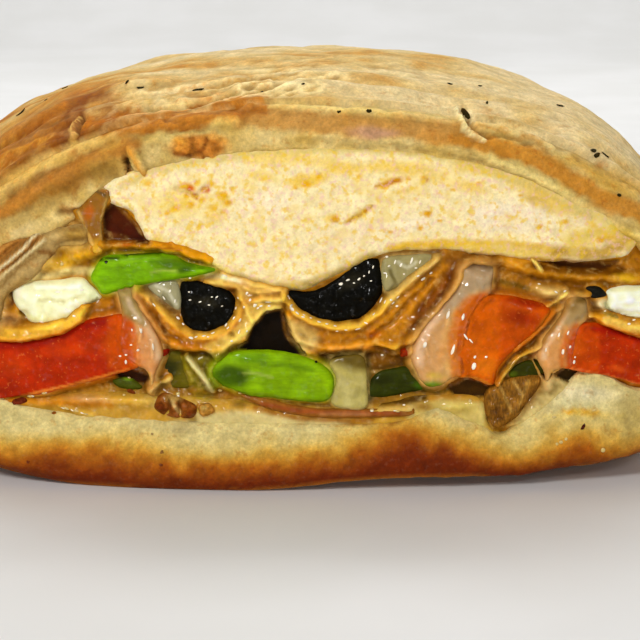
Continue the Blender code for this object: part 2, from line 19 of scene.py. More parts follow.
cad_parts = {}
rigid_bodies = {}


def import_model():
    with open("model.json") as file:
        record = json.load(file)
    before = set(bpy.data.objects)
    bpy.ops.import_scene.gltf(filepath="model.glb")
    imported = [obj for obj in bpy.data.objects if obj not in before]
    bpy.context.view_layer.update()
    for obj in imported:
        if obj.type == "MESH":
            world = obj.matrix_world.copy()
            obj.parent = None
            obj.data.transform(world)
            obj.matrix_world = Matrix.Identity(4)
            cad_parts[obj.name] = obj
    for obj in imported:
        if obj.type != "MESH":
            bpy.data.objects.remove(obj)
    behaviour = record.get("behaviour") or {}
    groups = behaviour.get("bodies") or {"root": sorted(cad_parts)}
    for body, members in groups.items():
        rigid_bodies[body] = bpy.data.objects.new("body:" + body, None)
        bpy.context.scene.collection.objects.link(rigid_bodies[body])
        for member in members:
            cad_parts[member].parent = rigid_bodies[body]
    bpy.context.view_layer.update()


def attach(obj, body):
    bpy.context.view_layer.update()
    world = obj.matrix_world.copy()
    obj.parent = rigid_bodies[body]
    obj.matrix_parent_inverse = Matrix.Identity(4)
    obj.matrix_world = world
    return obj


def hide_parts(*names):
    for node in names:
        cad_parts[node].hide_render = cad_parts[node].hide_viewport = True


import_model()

MM = 0.001

# Driving sizes of the loaf in millimetres, the same as its solids have.
HALF_WIDTH = 68.0
MID_HEIGHT = 25.0
CROWN_HEIGHT = 64.0
LENGTH = 132.0
TAPER_START = 82.0
POLE_HEIGHT = 20.0
UNDERSIDE = -1.2
FLATTENED = 1.3
SWELL_DEPTH = 52.0
SWELL_SIDEWAYS = 0.08
SWELL_UP = 0.13
SQUARER = 0.25
BEND = -4.0
POCKET_HALF_WIDTH = 60.0
POCKET_ROOF = 56.5
POCKET_FLOOR = 10.8
POCKET_END = LENGTH - 13.0
LAYER_END = LENGTH - 18.0  # how far back the layers of the filling run
OUTER_EDGE_RADIUS = 5.0
INNER_EDGE_RADIUS = 1.8
LOAF_POWERS = (2.05, 4.2)  # how square the outline is: its upper half, its lower half
POCKET_POWERS = (2.1, 4.0)
TAPER_POWERS = (2.3, 2.1, 4.0)  # the same of the closed end: sideways, above, below
FACE_BOW = 8.0
FACE_LEAN = 4.0
FLOOR_BUMPS = ((46.0, 6.5, 7.0), (31.0, 3.4, -2.4), (19.5, 4.0, 2.4))
ROOF_BUMPS = ((-44.0, 6.5, -4.5),)

# Where the loaf's frame lies in the model's.
SHIFT = np.array((4.0439, -66.0737, 1.2))

# The large lights: place and target in metres, then width, height and power.
SOFT_LIGHTS = (
    ((-0.25, -0.6, 0.51), (0.0, -0.05, 0.03), 0.17, 0.17, 2.7),
    ((-0.14, -0.66, 0.14), (0.0, -0.05, 0.03), 0.07, 0.07, 0.7),
    ((0.33, -0.62, 0.4), (0.0, -0.05, 0.03), 0.1, 0.1, 0.7),
    ((0.1, 0.3, 0.95), (0.0, -0.05, 0.03), 0.8, 0.6, 1.9),
    ((0.0, 0.55, 0.8), (0.0, 0.85, 0.0), 1.6, 0.5, 9.0),
)
SKY = 0.2  # strength of the light from all round
WARMTH = np.array((1.0, 1.03, 1.14))  # how much deeper each tint is than it looks under the lights

# The view: an eye in front of the cut and a little above it.
VIEW_SIZE = 640  # pixels, across and down
VIEW_MIDDLE = 320
VIEW_TILT = math.radians(12.0)
VIEW_DISTANCE = 330.0
VIEW_HEIGHT = 29.0
FOCAL_PIXELS = 1980.0
RIGHT = np.array((1.0, 0.0, 0.0))
AHEAD = np.array((0.0, math.cos(VIEW_TILT), -math.sin(VIEW_TILT)))
UPWARD = np.array((0.0, math.sin(VIEW_TILT), math.cos(VIEW_TILT)))
EYE = np.array((0.0, 0.0, VIEW_HEIGHT)) - VIEW_DISTANCE * AHEAD

AROUND = 640  # points in each ring of the crust
STROKES_END = 34.0  # how far behind the cut the view's strokes reach on the crust
STROKES_FADE = 10.0
BUMPS_END = 84.0  # how far behind the cut the pocket's bumps reach
BUMPS_FADE = 70.0


# Small functions on numbers and arrays.


def clamp(value, low=0.0, high=1.0):
    return np.minimum(np.maximum(value, low), high)


def smooth_step(value):
    value = clamp(value)
    return value * value * (3 - 2 * value)


def bell(x, centre, spread):
    return np.exp(-(((x - centre) / spread) ** 2))


TABLE_SIZE = 65536  # a power of 2
TABLE = np.random.RandomState(11).uniform(-1.0, 1.0, TABLE_SIZE)


def noise(points, size, seed=0):
    """Smooth lumps of this size, from -1 to 1, at an array of points."""
    cell = np.asarray(points, float) / size + 200.0 + 17.3 * seed
    low = np.floor(cell).astype(np.int64)
    part = cell - low
    part = part**3 * (part * (part * 6 - 15) + 10)
    total = np.zeros(len(cell))
    for corner in itertools.product((0, 1), repeat=3):
        at = low + np.array(corner)
        key = (at[:, 0] * 73856093) ^ (at[:, 1] * 19349663) ^ (at[:, 2] * 83492791)
        share = np.where(corner, part, 1 - part)
        total += share[:, 0] * share[:, 1] * share[:, 2] * TABLE[key & (TABLE_SIZE - 1)]
    return total


def lumps(points, size, octaves=3, seed=0):
    """Noise with finer and fainter lumps on it."""
    total = np.zeros(len(points))
    for octave in range(octaves):
        total += noise(points, size / 2.1**octave, seed + 5 * octave) / 1.8**octave
    return total / 1.6


def face_depth(x, z):
    return FACE_BOW * (x / HALF_WIDTH) ** 2 + FACE_LEAN * z / CROWN_HEIGHT


def to_view(points):
    """The (across, down) pixels at which points in the loaf's frame are seen."""
    away = points - EYE
    depth = away @ AHEAD
    across = VIEW_MIDDLE + FOCAL_PIXELS * (away @ RIGHT) / depth
    return np.column_stack([across, VIEW_MIDDLE - FOCAL_PIXELS * (away @ UPWARD) / depth])


def linear(colour):
    """A colour given as 0 to 255 on screen, as light."""
    value = np.asarray(colour, float) / 255
    return np.where(value <= 0.04045, value / 12.92, ((value + 0.055) / 1.055) ** 2.4)


def lightness(colours):
    """0 for the darkest of these colours, as in hollows, and 1 for all that are lit."""
    return smooth_step((colours.max(axis=1) - 0.05) / 0.12)


# Strokes: places on the view with soft edges, where a mesh is tinted or raised.


def line_distance(view, points):
    """How far each place in the view lies from an open line, in pixels."""
    best = np.full(len(view), 1e9)
    for start, end in zip(points, points[1:]):
        start, end = np.array(start, float), np.array(end, float)
        span = end - start
        share = clamp(((view - start) @ span) / (span @ span))
        gap = view - start - share[:, None] * span
        best = np.minimum(best, np.hypot(gap[:, 0], gap[:, 1]))
    return best


def line_weight(view, points, half_width, soft=1.0):
    """1 along a line, falling to 0 at its half width. soft is the share of that over which it falls."""
    distance = line_distance(view, points)
    return smooth_step((half_width - distance) / (soft * half_width))


def spot_weight(view, centre, radii, turn=0.0, soft=1.0):
    """1 within an oval, falling to 0 at its rim. turn is in degrees, clockwise in the view."""
    c, s = math.cos(math.radians(turn)), math.sin(math.radians(turn))
    x, y = (view - np.array(centre, float)).T
    along, across = (c * x + s * y) / radii[0], (c * y - s * x) / radii[1]
    return smooth_step((1 - np.hypot(along, across)) / soft)


def area_weight(view, corners, soft=4.0):
    """1 inside a many-sided area, falling to 0 within soft pixels outside and inside of its edge."""
    corners = np.array(corners, float)
    x, y = view.T
    within = np.zeros(len(view), bool)
    for (x0, y0), (x1, y1) in zip(corners, np.roll(corners, -1, axis=0)):
        if y0 == y1:
            continue
        crosses = (y0 > y) != (y1 > y)
        within ^= crosses & (x < x0 + (y - y0) / (y1 - y0) * (x1 - x0))
    distance = line_distance(view, [*corners, corners[0]])
    return smooth_step(0.5 + np.where(within, distance, -distance) / (2 * soft))


def stroke_weight(view, stroke):
    """How strongly a stroke acts at each place. It is its kind, its place and what its function takes."""
    kind, place, *shape = stroke
    return {"line": line_weight, "spot": spot_weight, "area": area_weight}[kind](view, place, *shape)


def tinted(colours, view, strokes):
    """Lays strokes of (colour, strength, stroke) over the colours, in order."""
    for colour, strength, stroke in strokes:
        weight = strength * stroke_weight(view, stroke)[:, None]
        colours = colours + weight * (linear(colour) - colours)
    return colours


def raised(view, strokes):
    """The sum of strokes of (height, stroke), in millimetres."""
    total = np.zeros(len(view))
    for height, stroke in strokes:
        total += height * stroke_weight(view, stroke)
    return total


def wandering(view, points, size, reach, seed=40):
    """The view's places, shifted a little by noise, so that strokes get uneven edges."""
    across = reach * lumps(points, size, 2, seed)
    down = reach * lumps(points, size, 2, seed + 9)
    return view + np.column_stack([across, down])


# Closed curves in the XZ plane, as in the solids.


def resampled(curve, count):
    """A closed curve as this many points, evenly apart."""
    loop = np.vstack([curve, curve[:1]])
    steps = np.hypot(*np.diff(loop, axis=0).T)
    along = np.concatenate([[0.0], np.cumsum(steps)])
    wanted = np.linspace(0.0, along[-1], count, endpoint=False)
    return np.column_stack([np.interp(wanted, along, loop[:, axis]) for axis in (0, 1)])


def superellipse(half_width, middle, up, down, power_up, power_down):
    angles = np.linspace(0.0, 2 * math.pi, 1440, endpoint=False)
    c, s = np.cos(angles), np.sin(angles)
    power = np.where(s >= 0, power_up, power_down)
    x = half_width * np.sign(c) * np.abs(c) ** (2 / power)
    return x, middle + np.where(s >= 0, up, down) * np.sign(s) * np.abs(s) ** (2 / power)


def loaf_outline(swell=0.0):
    crown, depth = CROWN_HEIGHT - MID_HEIGHT, MID_HEIGHT - UNDERSIDE + FLATTENED
    power_up, power_down = LOAF_POWERS
    shape = superellipse(HALF_WIDTH, MID_HEIGHT, crown, depth, power_up + SQUARER * swell, power_down)
    return resampled(np.column_stack(shape), AROUND)


def pocket_outline(bumpy=1.0, count=AROUND):
    roof, floor = POCKET_ROOF - MID_HEIGHT, MID_HEIGHT - POCKET_FLOOR
    x, z = superellipse(POCKET_HALF_WIDTH, MID_HEIGHT, roof, floor, *POCKET_POWERS)
    above = sum(rise * bell(x, centre, spread) for centre, spread, rise in ROOF_BUMPS)
    below = sum(rise * bell(x, centre, spread) for centre, spread, rise in FLOOR_BUMPS)
    share = bumpy * clamp(np.abs(z - MID_HEIGHT) / 8.0)
    return resampled(np.column_stack([x, z + share * np.where(z > MID_HEIGHT, above, below)]), count)


def bumpiness(depth):
    """The share of the pocket's bumps that is left at this depth behind the cut."""
    return clamp((BUMPS_END - depth) / BUMPS_FADE)


def outward(curve):
    """The outward normals of a closed counterclockwise curve."""
    tangent = np.roll(curve, -1, axis=0) - np.roll(curve, 1, axis=0)
    normal = np.column_stack([tangent[:, 1], -tangent[:, 0]])
    return normal / np.linalg.norm(normal, axis=1, keepdims=True)


def smooth_outline(corners, step):
    """A closed Catmull-Rom curve through the corners, counterclockwise, as points a step apart."""
    points = np.array(corners, float)
    x, z = points.T
    if np.sum(x * np.roll(z, -1) - z * np.roll(x, -1)) < 0:
        points = points[::-1]
    before, after, next_after = (np.roll(points, shift, axis=0) for shift in (1, -1, -2))
    curve = []
    for a, b, c, d in zip(before, points, after, next_after):
        for t in np.linspace(0.0, 1.0, 12, endpoint=False):
            pull = 2 * b + (c - a) * t + (2 * a - 5 * b + 4 * c - d) * t**2
            curve.append((pull + (3 * b - a - 3 * c + d) * t**3) / 2)
    curve = np.array(curve)
    length = np.sum(np.hypot(*(np.roll(curve, -1, axis=0) - curve).T))
    return resampled(curve, int(length / step))


# Meshes.


def make_piece(name, points, faces, colours, wet, material, nodes=()):
    """A mesh in the model's frame, with its tint and wetness at each point, riding on the food."""
    mesh = bpy.data.meshes.new(name)
    mesh.from_pydata(((points + SHIFT) * MM).tolist(), [], faces)
    mesh.validate()
    mesh.polygons.foreach_set("use_smooth", np.ones(len(mesh.polygons), bool))
    tint = mesh.color_attributes.new("tint", "FLOAT_COLOR", "POINT")
    tint.data.foreach_set("color", np.column_stack([clamp(colours) ** WARMTH, np.ones(len(points))]).ravel())
    gloss = mesh.attributes.new("wet", "FLOAT", "POINT")
    gloss.data.foreach_set("value", clamp(wet * np.ones(len(points))))
    mesh.materials.append(material)
    mesh.update()
    obj = bpy.data.objects.new(name, mesh)
    bpy.context.scene.collection.objects.link(obj)
    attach(obj, "root")
    if nodes:
        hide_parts(*nodes)


def ring_faces(rows, count, start=0):
    """Quads between rows of points that close on themselves."""
    faces = []
    for row in range(rows - 1):
        a, b = start + row * count, start + (row + 1) * count
        faces += [(a + i, a + (i + 1) % count, b + (i + 1) % count, b + i) for i in range(count)]
    return faces


# The crust.


def near_cut(y):
    """1 close to the cut, falling to 0 where the view's strokes end."""
    return smooth_step((STROKES_END - y) / STROKES_FADE)


def loaf_swell(y):
    return math.sin(math.pi * clamp(y / (2 * SWELL_DEPTH)))


def loaf_scale(y):
    """The loaf's size at this depth, sideways, above the pole and below it, as shares of its full size."""
    t = clamp((y - TAPER_START) / (LENGTH - TAPER_START))
    return [(1 - t**power) ** (1 / power) for power in TAPER_POWERS]


def skin_depths():
    """How far behind the cut the rings of the outside lie: close together where the view sees them."""
    turns = np.linspace(math.pi / 2, 0.0, 30)[1:]
    tapered = TAPER_START + (LENGTH - TAPER_START) * np.sin(turns)
    straight = np.arange(TAPER_START - 1.8, 44.0, -1.8)
    close = np.arange(43.0, 17.0, -0.85)
    closest = np.linspace(17.0, OUTER_EDGE_RADIUS, 30)
    return [*tapered, *straight, *close, *closest]


def skin_rings():
    """The outside of the crust, from the closed end to the cut."""
    rings = []
    for y in skin_depths():
        swell, (sideways, above, below) = loaf_swell(y), loaf_scale(y)
        x, z = loaf_outline(swell).T
        stretch = np.where(z > POLE_HEIGHT, above * (1 + SWELL_UP * swell), below)
        at_x = x * sideways * (1 + SWELL_SIDEWAYS * swell) + BEND * swell
        at_y = y + (1 - y / LENGTH) * face_depth(x, z)
        rings.append(np.column_stack([at_x, at_y, POLE_HEIGHT + (z - POLE_HEIGHT) * stretch]))
    return rings


def rim_rings():
    """The cut face of the crust: its rounded outer edge, its flat and its rounded inner edge."""
    outside, inside = loaf_outline(), pocket_outline()
    thickness = np.hypot(*(inside - outside).T)
    outer = np.minimum(OUTER_EDGE_RADIUS, 0.5 * thickness)
    inner = np.minimum(INNER_EDGE_RADIUS, 0.3 * thickness)
    places = []
    for turn in np.linspace(0.0, math.pi / 2, 13)[1:]:
        places.append((outer * (1 - math.cos(turn)), OUTER_EDGE_RADIUS * (1 - math.sin(turn))))
    for share in np.linspace(0.0, 1.0, 11)[1:]:
        places.append((outer + share * (thickness - inner - outer), 0.0))
    for turn in np.linspace(0.0, math.pi / 2, 6)[1:]:
        places.append((thickness - inner * (1 - math.sin(turn)), INNER_EDGE_RADIUS * (1 - math.cos(turn))))
    rings = []
    for distance, depth in places:
        x, z = (outside + (inside - outside) * (distance / thickness)[:, None]).T
        rings.append(np.column_stack([x, face_depth(x, z) + depth, z]))
    return rings


def pocket_rings():
    """The inside of the crust, from the cut to the pocket's end."""
    rings = []
    for depth in (3.0, 5.0, 8.0, 14.0, 58.0, 84.0, 101.0, 112.0, 117.0):
        x, z = pocket_outline(bumpiness(depth)).T
        sideways, above, below = loaf_scale(depth * LENGTH / POCKET_END)
        at_z = POLE_HEIGHT + (z - POLE_HEIGHT) * np.where(z > POLE_HEIGHT, above, below)
        at_y = depth + (1 - depth / LENGTH) * face_depth(x, z)
        rings.append(np.column_stack([x * sideways, at_y, at_z]))
    return rings


def crust_relief(points):
    """The baked skin's lumps, wrinkles and pleats, as the solid has them."""
    x, y, z = points.T
    slow = 1.3 * perlin(points, 24.0) + 0.6 * perlin(points[:, (2, 0, 1)], 9.0)
    slow *= clamp(0.3 + z / 16.0)
    above = clamp((z - 22.0) / 14.0)
    wander = 2.6 * perlin(np.column_stack([x, 0 * x, 0 * x + 7.0]), 21.0)
    wrinkles = 0.8 * bell(y, 16.0, 11.0) * np.sin((y - face_depth(x, z) + wander) * math.pi / 4.6)
    shoulder = 1.6 * bell(x, -46.0, 13.0) * bell(y, 24.0, 18.0)
    around = np.arctan2(z - POLE_HEIGHT, x)
    towards_end = clamp((y - TAPER_START - 14.0) / (LENGTH - TAPER_START - 14.0))
    pleats = 1.9 * np.sin(math.pi * towards_end) * np.cos(9 * around + 0.05 * y)
    return slow * clamp(y / 6.0) + above * (wrinkles + shoulder + pleats)


def resting_height(points):
    """The height of each point once the loaf rests on its flat underside and its lip curls up."""
    x, y, z = points.T
    curl = 2.2 * smooth_step((x + 14.0) / 28.0) + 0.8 * smooth_step((x - 33.0) / 9.0)
    curl = curl * smooth_step(1 - y / 42.0) * smooth_step((20.0 - z) / 16.0)
    return np.maximum(z, UNDERSIDE) + curl


def perlin(points, size):
    """The noise that the solids' relief is made of."""
    return np.array([relief_noise.noise(point) for point in (points / size).tolist()])


# Colours, as they look on screen.

FLOUR = (228, 203, 156)
PALE_SKIN = (218, 186, 127)
TAN = (206, 152, 78)
BROWN = (182, 112, 42)
DARK_BROWN = (142, 76, 24)
RIM = (207, 172, 98)
RIM_PALE = (224, 205, 156)
# Colours of the flakes' troughs and crests: painted shade and painted highlight.
FLAKE_TROUGH_SHADE = (190, 116, 40)
FLAKE_CREST_HIGHLIGHT = (242, 222, 168)

SKIN_STOPS = ((0.0, FLOUR), (0.3, PALE_SKIN), (0.55, TAN), (0.8, BROWN), (1.0, DARK_BROWN))

# The cut dough below the filling, by height above its underside.
DOUGH_STOPS = (
    (0.1, (186, 118, 48)),
    (0.5, (150, 80, 24)),
    (1.2, (112, 40, 6)),
    (2.6, (130, 58, 12)),
    (4.2, (166, 92, 22)),
    (5.6, (194, 132, 46)),
    (7.0, (208, 162, 74)),
    (8.6, (214, 185, 113)),
    (11.0, (215, 196, 138)),
)


def ramp(value, stops):
    """The colour between the stops, each (value, colour), at each value."""
    places = [place for place, _ in stops]
    shades = np.array([linear(colour) for _, colour in stops])
    return np.column_stack([np.interp(value, places, shades[:, i]) for i in range(3)])


# Lines of the crust that are both raised and tinted.
CREST = (
    (-20, 206), (10, 187), (40, 168), (70, 154), (100, 140), (130, 131), (160, 124), (190, 122), (235, 119),
)
STRIPE = (
    (-20, 172), (0, 160), (25, 147), (50, 139), (75, 130), (95, 126), (112, 123), (135, 120), (160, 116),
    (190, 115), (220, 107), (240, 103), (262, 102),
)
BAND_MIDDLE = ((240, 116), (300, 121), (350, 125), (400, 129), (445, 133), (476, 139))
BAND_RIGHT = ((468, 140), (510, 149), (545, 162), (580, 184), (610, 201), (650, 214))
ROLL = ((-20, 228), (10, 207), (40, 189), (70, 171), (100, 155), (128, 147))
RIDGE_RIGHT = ((476, 149), (498, 161), (530, 174), (560, 189), (582, 206), (600, 222), (640, 236))
FLAKE = ((456, 112), (462, 122), (469, 133), (482, 141))
NOTCH = ((126, 160), (130, 171), (136, 183))
NOTCH_EDGE = ((132, 151), (139, 164), (147, 178))

CRUST_HEIGHTS = (
    (0.8, ("line", CREST, 9)),
    (0.5, ("line", ROLL, 15)),
    (-0.7, ("spot", (106, 174), (26, 16), -20, 0.9)),
    (0.4, ("line", STRIPE, 6, 0.9)),
    (0.5, ("line", ((-20, 148), (12, 130), (40, 116), (66, 104)), 6)),
    (-0.5, ("line", ((-20, 158), (12, 140), (40, 126), (66, 116)), 5)),
    (0.5, ("line", ((-20, 138), (12, 120), (40, 104), (60, 90)), 5)),
    (0.9, ("spot", (252, 106), (11, 5), -20)),
    (-0.5, ("line", ((165, 123), (190, 124), (215, 121)), 3)),
    (-0.5, ("line", ((150, 110), (190, 108), (215, 101), (240, 96)), 4)),
    (0.5, ("line", ((180, 102), (205, 99), (235, 90), (270, 84)), 4)),
    (0.4, ("line", ((130, 95), (165, 92), (200, 86), (230, 80)), 4)),
    (0.5, ("line", ((100, 88), (125, 84), (170, 80)), 4)),
    (0.45, ("line", ((240, 108), (300, 108), (360, 112), (420, 117), (455, 124)), 5)),
    (0.9, ("line", FLAKE, 4)),
    (-0.9, ("line", ((464, 112), (470, 122), (477, 131), (490, 137)), 4)),
    (0.55, ("line", ((474, 124), (500, 127), (528, 135), (552, 148)), 4)),
    (-0.4, ("line", ((480, 132), (505, 136), (530, 144)), 4)),
    (0.7, ("line", RIDGE_RIGHT, 8)),
    (-1.3, ("spot", (544, 199), (26, 10), 24, 0.9)),
    (-0.5, ("line", ((300, 141), (380, 146), (440, 152), (480, 163)), 8)),
    (-2.6, ("line", NOTCH, 4.5, 0.9)),
    (1.2, ("line", NOTCH_EDGE, 5.5)),
    (0.8, ("spot", (76, 128), (4, 13), 18, 0.9)),
    (-1.0, ("line", ((83, 116), (80, 128), (72, 142)), 3.5)),
    (-0.8, ("line", ((60, 212), (80, 214), (100, 217)), 6)),
)

CRUST_TINTS = (
    ((194, 140, 74), 0.9, ("line", BAND_MIDDLE, 15, 0.6)),
    ((190, 146, 126), 0.75, ("spot", (375, 132), (40, 10), 5, 0.8)),
    ((196, 136, 62), 0.5, ("spot", (440, 138), (36, 9), 8, 0.8)),
    ((194, 128, 42), 0.9, ("line", BAND_RIGHT, 14, 0.6)),
    ((208, 184, 118), 0.8, ("line", RIDGE_RIGHT, 9, 0.9)),
    ((194, 131, 50), 0.9, ("line", ((456, 137), (470, 143), (486, 147), (506, 153)), 9, 0.8)),
    # Olive-brown below the pale ridge: painted shade.
    ((176, 142, 72), 0.8, ("spot", (544, 199), (26, 10), 24, 0.8)),
    ((216, 190, 122), 0.8, ("spot", (175, 134), (60, 6), -3, 0.8)),
    ((172, 100, 28), 0.9, ("line", ((36, 148), (75, 132), (100, 121), (130, 116), (165, 110)), 8, 0.9)),
    ((160, 90, 20), 0.8, ("area", ((-10, 172), (-10, 128), (20, 112), (50, 100), (66, 94), (98, 80),
     (118, 84), (98, 98), (92, 112), (82, 128), (70, 142), (52, 150), (20, 166)), 9)),
    # Orange-brown stripe under the overhanging lip: the crust's own brown and painted shadow.
    ((190, 118, 36), 0.9, ("line", STRIPE, 6.5, 0.6)),
    ((166, 92, 24), 0.7, ("line", ((130, 124), (150, 121), (165, 119), (186, 119)), 2.6, 0.9)),
    ((186, 104, 26), 0.8, ("spot", (181, 104), (12, 2.6), 0, 0.8)),
    ((180, 108, 44), 0.6, ("spot", (254, 107), (10, 5), -20, 0.7)),
    ((224, 190, 118), 0.6, ("line", ((150, 108), (190, 107), (215, 99), (240, 94)), 5, 0.8)),
    ((202, 148, 70), 0.5, ("line", ((165, 96), (200, 97), (230, 88)), 4, 0.8)),
    ((198, 138, 56), 0.6, ("line", ((150, 86), (190, 84), (225, 76)), 4, 0.8)),
    ((198, 146, 68), 0.6, ("line", ((230, 82), (270, 78), (310, 76)), 3, 0.8)),
    ((222, 192, 116), 0.55, ("line", ((236, 108), (300, 107), (360, 110), (440, 116)), 4, 0.8)),
    ((176, 112, 42), 0.92, ("line", ROLL, 17, 0.7)),
    ((150, 102, 40), 0.9, ("line", ((-20, 240), (10, 220), (40, 202), (68, 186), (92, 172)), 13, 0.9)),
    ((152, 106, 40), 0.6, ("spot", (50, 200), (36, 16), -25)),
    ((214, 188, 140), 0.5, ("spot", (20, 232), (30, 10), -20)),
    ((216, 174, 86), 0.5, ("spot", (616, 178), (24, 18), 20)),
    # Pale along the crest: painted highlight.
    ((222, 178, 96), 0.9, ("line", CREST, 8, 0.9)),
    ((212, 160, 74), 0.8, ("spot", (114, 146), (24, 8), -20, 0.9)),
    # Orange-brown stripe under the overhanging lip: the crust's own brown and painted shadow.
    ((172, 102, 26), 0.9, ("line", ((-20, 174), (25, 149), (50, 141), (75, 134), (112, 130), (135, 129),
     (160, 126), (190, 123), (220, 116), (262, 108)), 10, 0.6)),
    ((164, 126, 62), 0.9, ("spot", (110, 170), (32, 20), -15, 0.7)),
    ((184, 152, 90), 0.7, ("spot", (36, 212), (64, 12), -22, 0.7)),
    ((206, 178, 116), 0.6, ("spot", (14, 222), (34, 9), -22, 0.7)),
    ((186, 110, 28), 0.9, ("spot", (198, 146), (38, 16), -3, 0.45)),
    ((120, 62, 16), 0.8, ("line", ((176, 153), (188, 156)), 4, 0.8)),
    ((118, 60, 12), 0.85, ("spot", (200, 157), (4, 3), 0, 0.8)),
    ((210, 150, 60), 0.6, ("spot", (178, 142), (12, 9), 0, 0.8)),
    ((126, 66, 18), 0.8, ("line", ((196, 153), (204, 147), (208, 140)), 3.5, 0.8)),
    ((214, 152, 70), 0.7, ("line", ((204, 136), (216, 134), (226, 142)), 4, 0.8)),
    ((112, 60, 20), 0.9, ("line", NOTCH, 4, 0.8)),
    ((202, 140, 56), 0.8, ("line", NOTCH_EDGE, 5, 0.8)),
    ((222, 196, 40), 0.8, ("spot", (149, 183), (5, 3), 0, 0.6)),
    # Darker under the roll: painted shadow.
    ((146, 84, 26), 0.7, ("line", ((62, 210), (80, 213), (102, 216)), 7, 0.8)),
    ((124, 62, 18), 0.8, ("line", ((92, 92), (84, 106), (76, 122), (66, 136)), 20)),
    ((150, 84, 30), 0.7, ("line", ((104, 92), (116, 108), (112, 120)), 14)),
    ((150, 86, 36), 0.7, ("line", ((-10, 146), (12, 132), (34, 122)), 5, 0.9)),
    ((206, 146, 62), 0.6, ("line", ((-10, 168), (20, 148), (50, 138)), 5, 0.9)),
    ((228, 176, 96), 0.9, ("line", ((70, 138), (74, 128), (78, 120)), 3, 0.7)),
    ((226, 200, 130), 0.5, ("line", ((-10, 118), (30, 104), (62, 82)), 6, 0.9)),
    ((232, 214, 158), 0.8, ("line", FLAKE, 3.5, 0.8)),
    ((166, 110, 50), 0.6, ("line", ((464, 112), (470, 122), (477, 131)), 3, 0.8)),
    ((200, 142, 66), 0.6, ("spot", (492, 112), (16, 3), 8, 0.8)),
    ((196, 138, 62), 0.6, ("line", ((470, 124), (500, 130), (530, 141), (552, 155)), 3, 0.8)),
    ((210, 160, 70), 0.7, ("line", ((574, 158), (592, 170), (612, 182), (640, 192)), 10, 0.9)),
    ((190, 124, 48), 0.7, ("spot", (600, 168), (8, 3), 20, 0.8)),
    ((190, 150, 40), 0.85, ("spot", (618, 236), (32, 18), 30, 0.8)),
    ((150, 92, 20), 0.85, ("line", ((262, 410), (300, 419), (350, 423), (400, 420)), 5, 0.9)),
)

DOUGH_SHADES = (  # across, down, width, height and amount
    (92, 448, 60, 26, 1.9), (408, 440, 44, 40, 3.6), (404, 470, 50, 16, 2.2), (600, 450, 60, 16, 0.6),
    (212, 444, 50, 16, -1.7), (524, 440, 46, 18, -2.2), (40, 428, 50, 14, -1.2), (300, 440, 40, 14, -0.8),
    (556, 464, 56, 14, -2.4), (632, 452, 26, 24, -2.0),
)

HUMP_TINTS = (
    ((216, 206, 160), 0.7, ("spot", (570, 396), (60, 22), 0, 0.8)),
    ((234, 220, 186), 0.6, ("spot", (584, 392), (56, 13), 4)),
    ((226, 182, 70), 0.8, ("spot", (582, 412), (28, 6), 2, 0.8)),
    ((222, 158, 16), 0.85, ("spot", (569, 412), (9, 3.5), 0, 0.7)),
    ((224, 160, 14), 0.85, ("spot", (591, 413), (11, 4), 0, 0.7)),
    ((226, 196, 110), 0.6, ("line", ((545, 416), (640, 415)), 3, 0.8)),
    ((176, 152, 92), 0.7, ("spot", (632, 416), (22, 44), 0, 0.9)),
    ((166, 140, 82), 0.7, ("spot", (504, 430), (26, 9), -30, 0.9)),
    ((206, 184, 132), 0.6, ("spot", (466, 420), (24, 12))),
    # Grey under the sausage crumb: painted shadow.
    ((168, 150, 108), 0.75, ("spot", (180, 430), (24, 9), 0, 0.9)),
)


def crust_colours(points, view, front):
    """The crust's tint: toasted skin all round, the pale cut rim, and the strokes of the view."""
    x, y, z = points.T
    streaks = lumps(points * (0.5, 1.0, 0.5), 6.0, 3, 1)
    blotches = lumps(points, 11.0, 3, 2)
    side = smooth_step((36.0 - z) / 26.0)
    low = smooth_step((13.0 - z) / 12.0)
    left = smooth_step((-x - 26.0) / 24.0) * bell(y, 6.0, 70.0)
    toast = 0.2 + 0.34 * side + 0.36 * low + 0.36 * left + 0.42 * streaks + 0.3 * blotches
    toast -= 0.12 * smooth_step((x - 10.0) / 30.0) * (1 - side)
    skin = ramp(toast, SKIN_STOPS)
    height = z - resting_height(np.column_stack([x, y, np.full(len(x), UNDERSIDE - 1.0)]))
    browned = height + 1.3 * lumps(points, 3.0, 4, 3) + 0.9 * noise(points, 9.0, 8)
    for across, down, width, tall, amount in DOUGH_SHADES:
        browned -= amount * bell(view[:, 0], across, width) * bell(view[:, 1], down, tall)
    dough = ramp(np.maximum(browned, np.minimum(height, 1.3)), DOUGH_STOPS)
    rim = linear(RIM) * np.ones((len(points), 3))
    rim += (linear(RIM_PALE) - rim) * clamp(0.5 + 0.9 * lumps(points, 3.0, 3, 5))[:, None] * 0.5
    rim = rim + (dough - rim) * smooth_step((26.0 - z) / 10.0)[:, None]
    colours = skin + (rim - skin) * front[:, None]
    colours *= 1 + 0.12 * lumps(points * (0.7, 1.0, 1.0), 1.1, 2, 33)[:, None]
    shifted = wandering(view, points, 2.0, 3.2 + 0.3 * clamp(y, 0.0, 30.0))
    shifted = wandering(shifted, points, 7.0, 0.025 * clamp(y, 0.0, 30.0) ** 2, 50)
    drawn = tinted(colours, shifted, CRUST_TINTS)
    drawn = tinted(drawn, wandering(view, points, 1.6, 2.0), HUMP_TINTS)
    return colours + (drawn - colours) * near_cut(y)[:, None]


def grid_normals(rings):
    """The outward normals of rings of points, from their neighbours along and across."""
    across = np.roll(rings, -1, axis=1) - np.roll(rings, 1, axis=1)
    normals = np.cross(across, np.gradient(rings, axis=0))
    return normals / np.maximum(np.linalg.norm(normals, axis=2, keepdims=True), 1e-9)


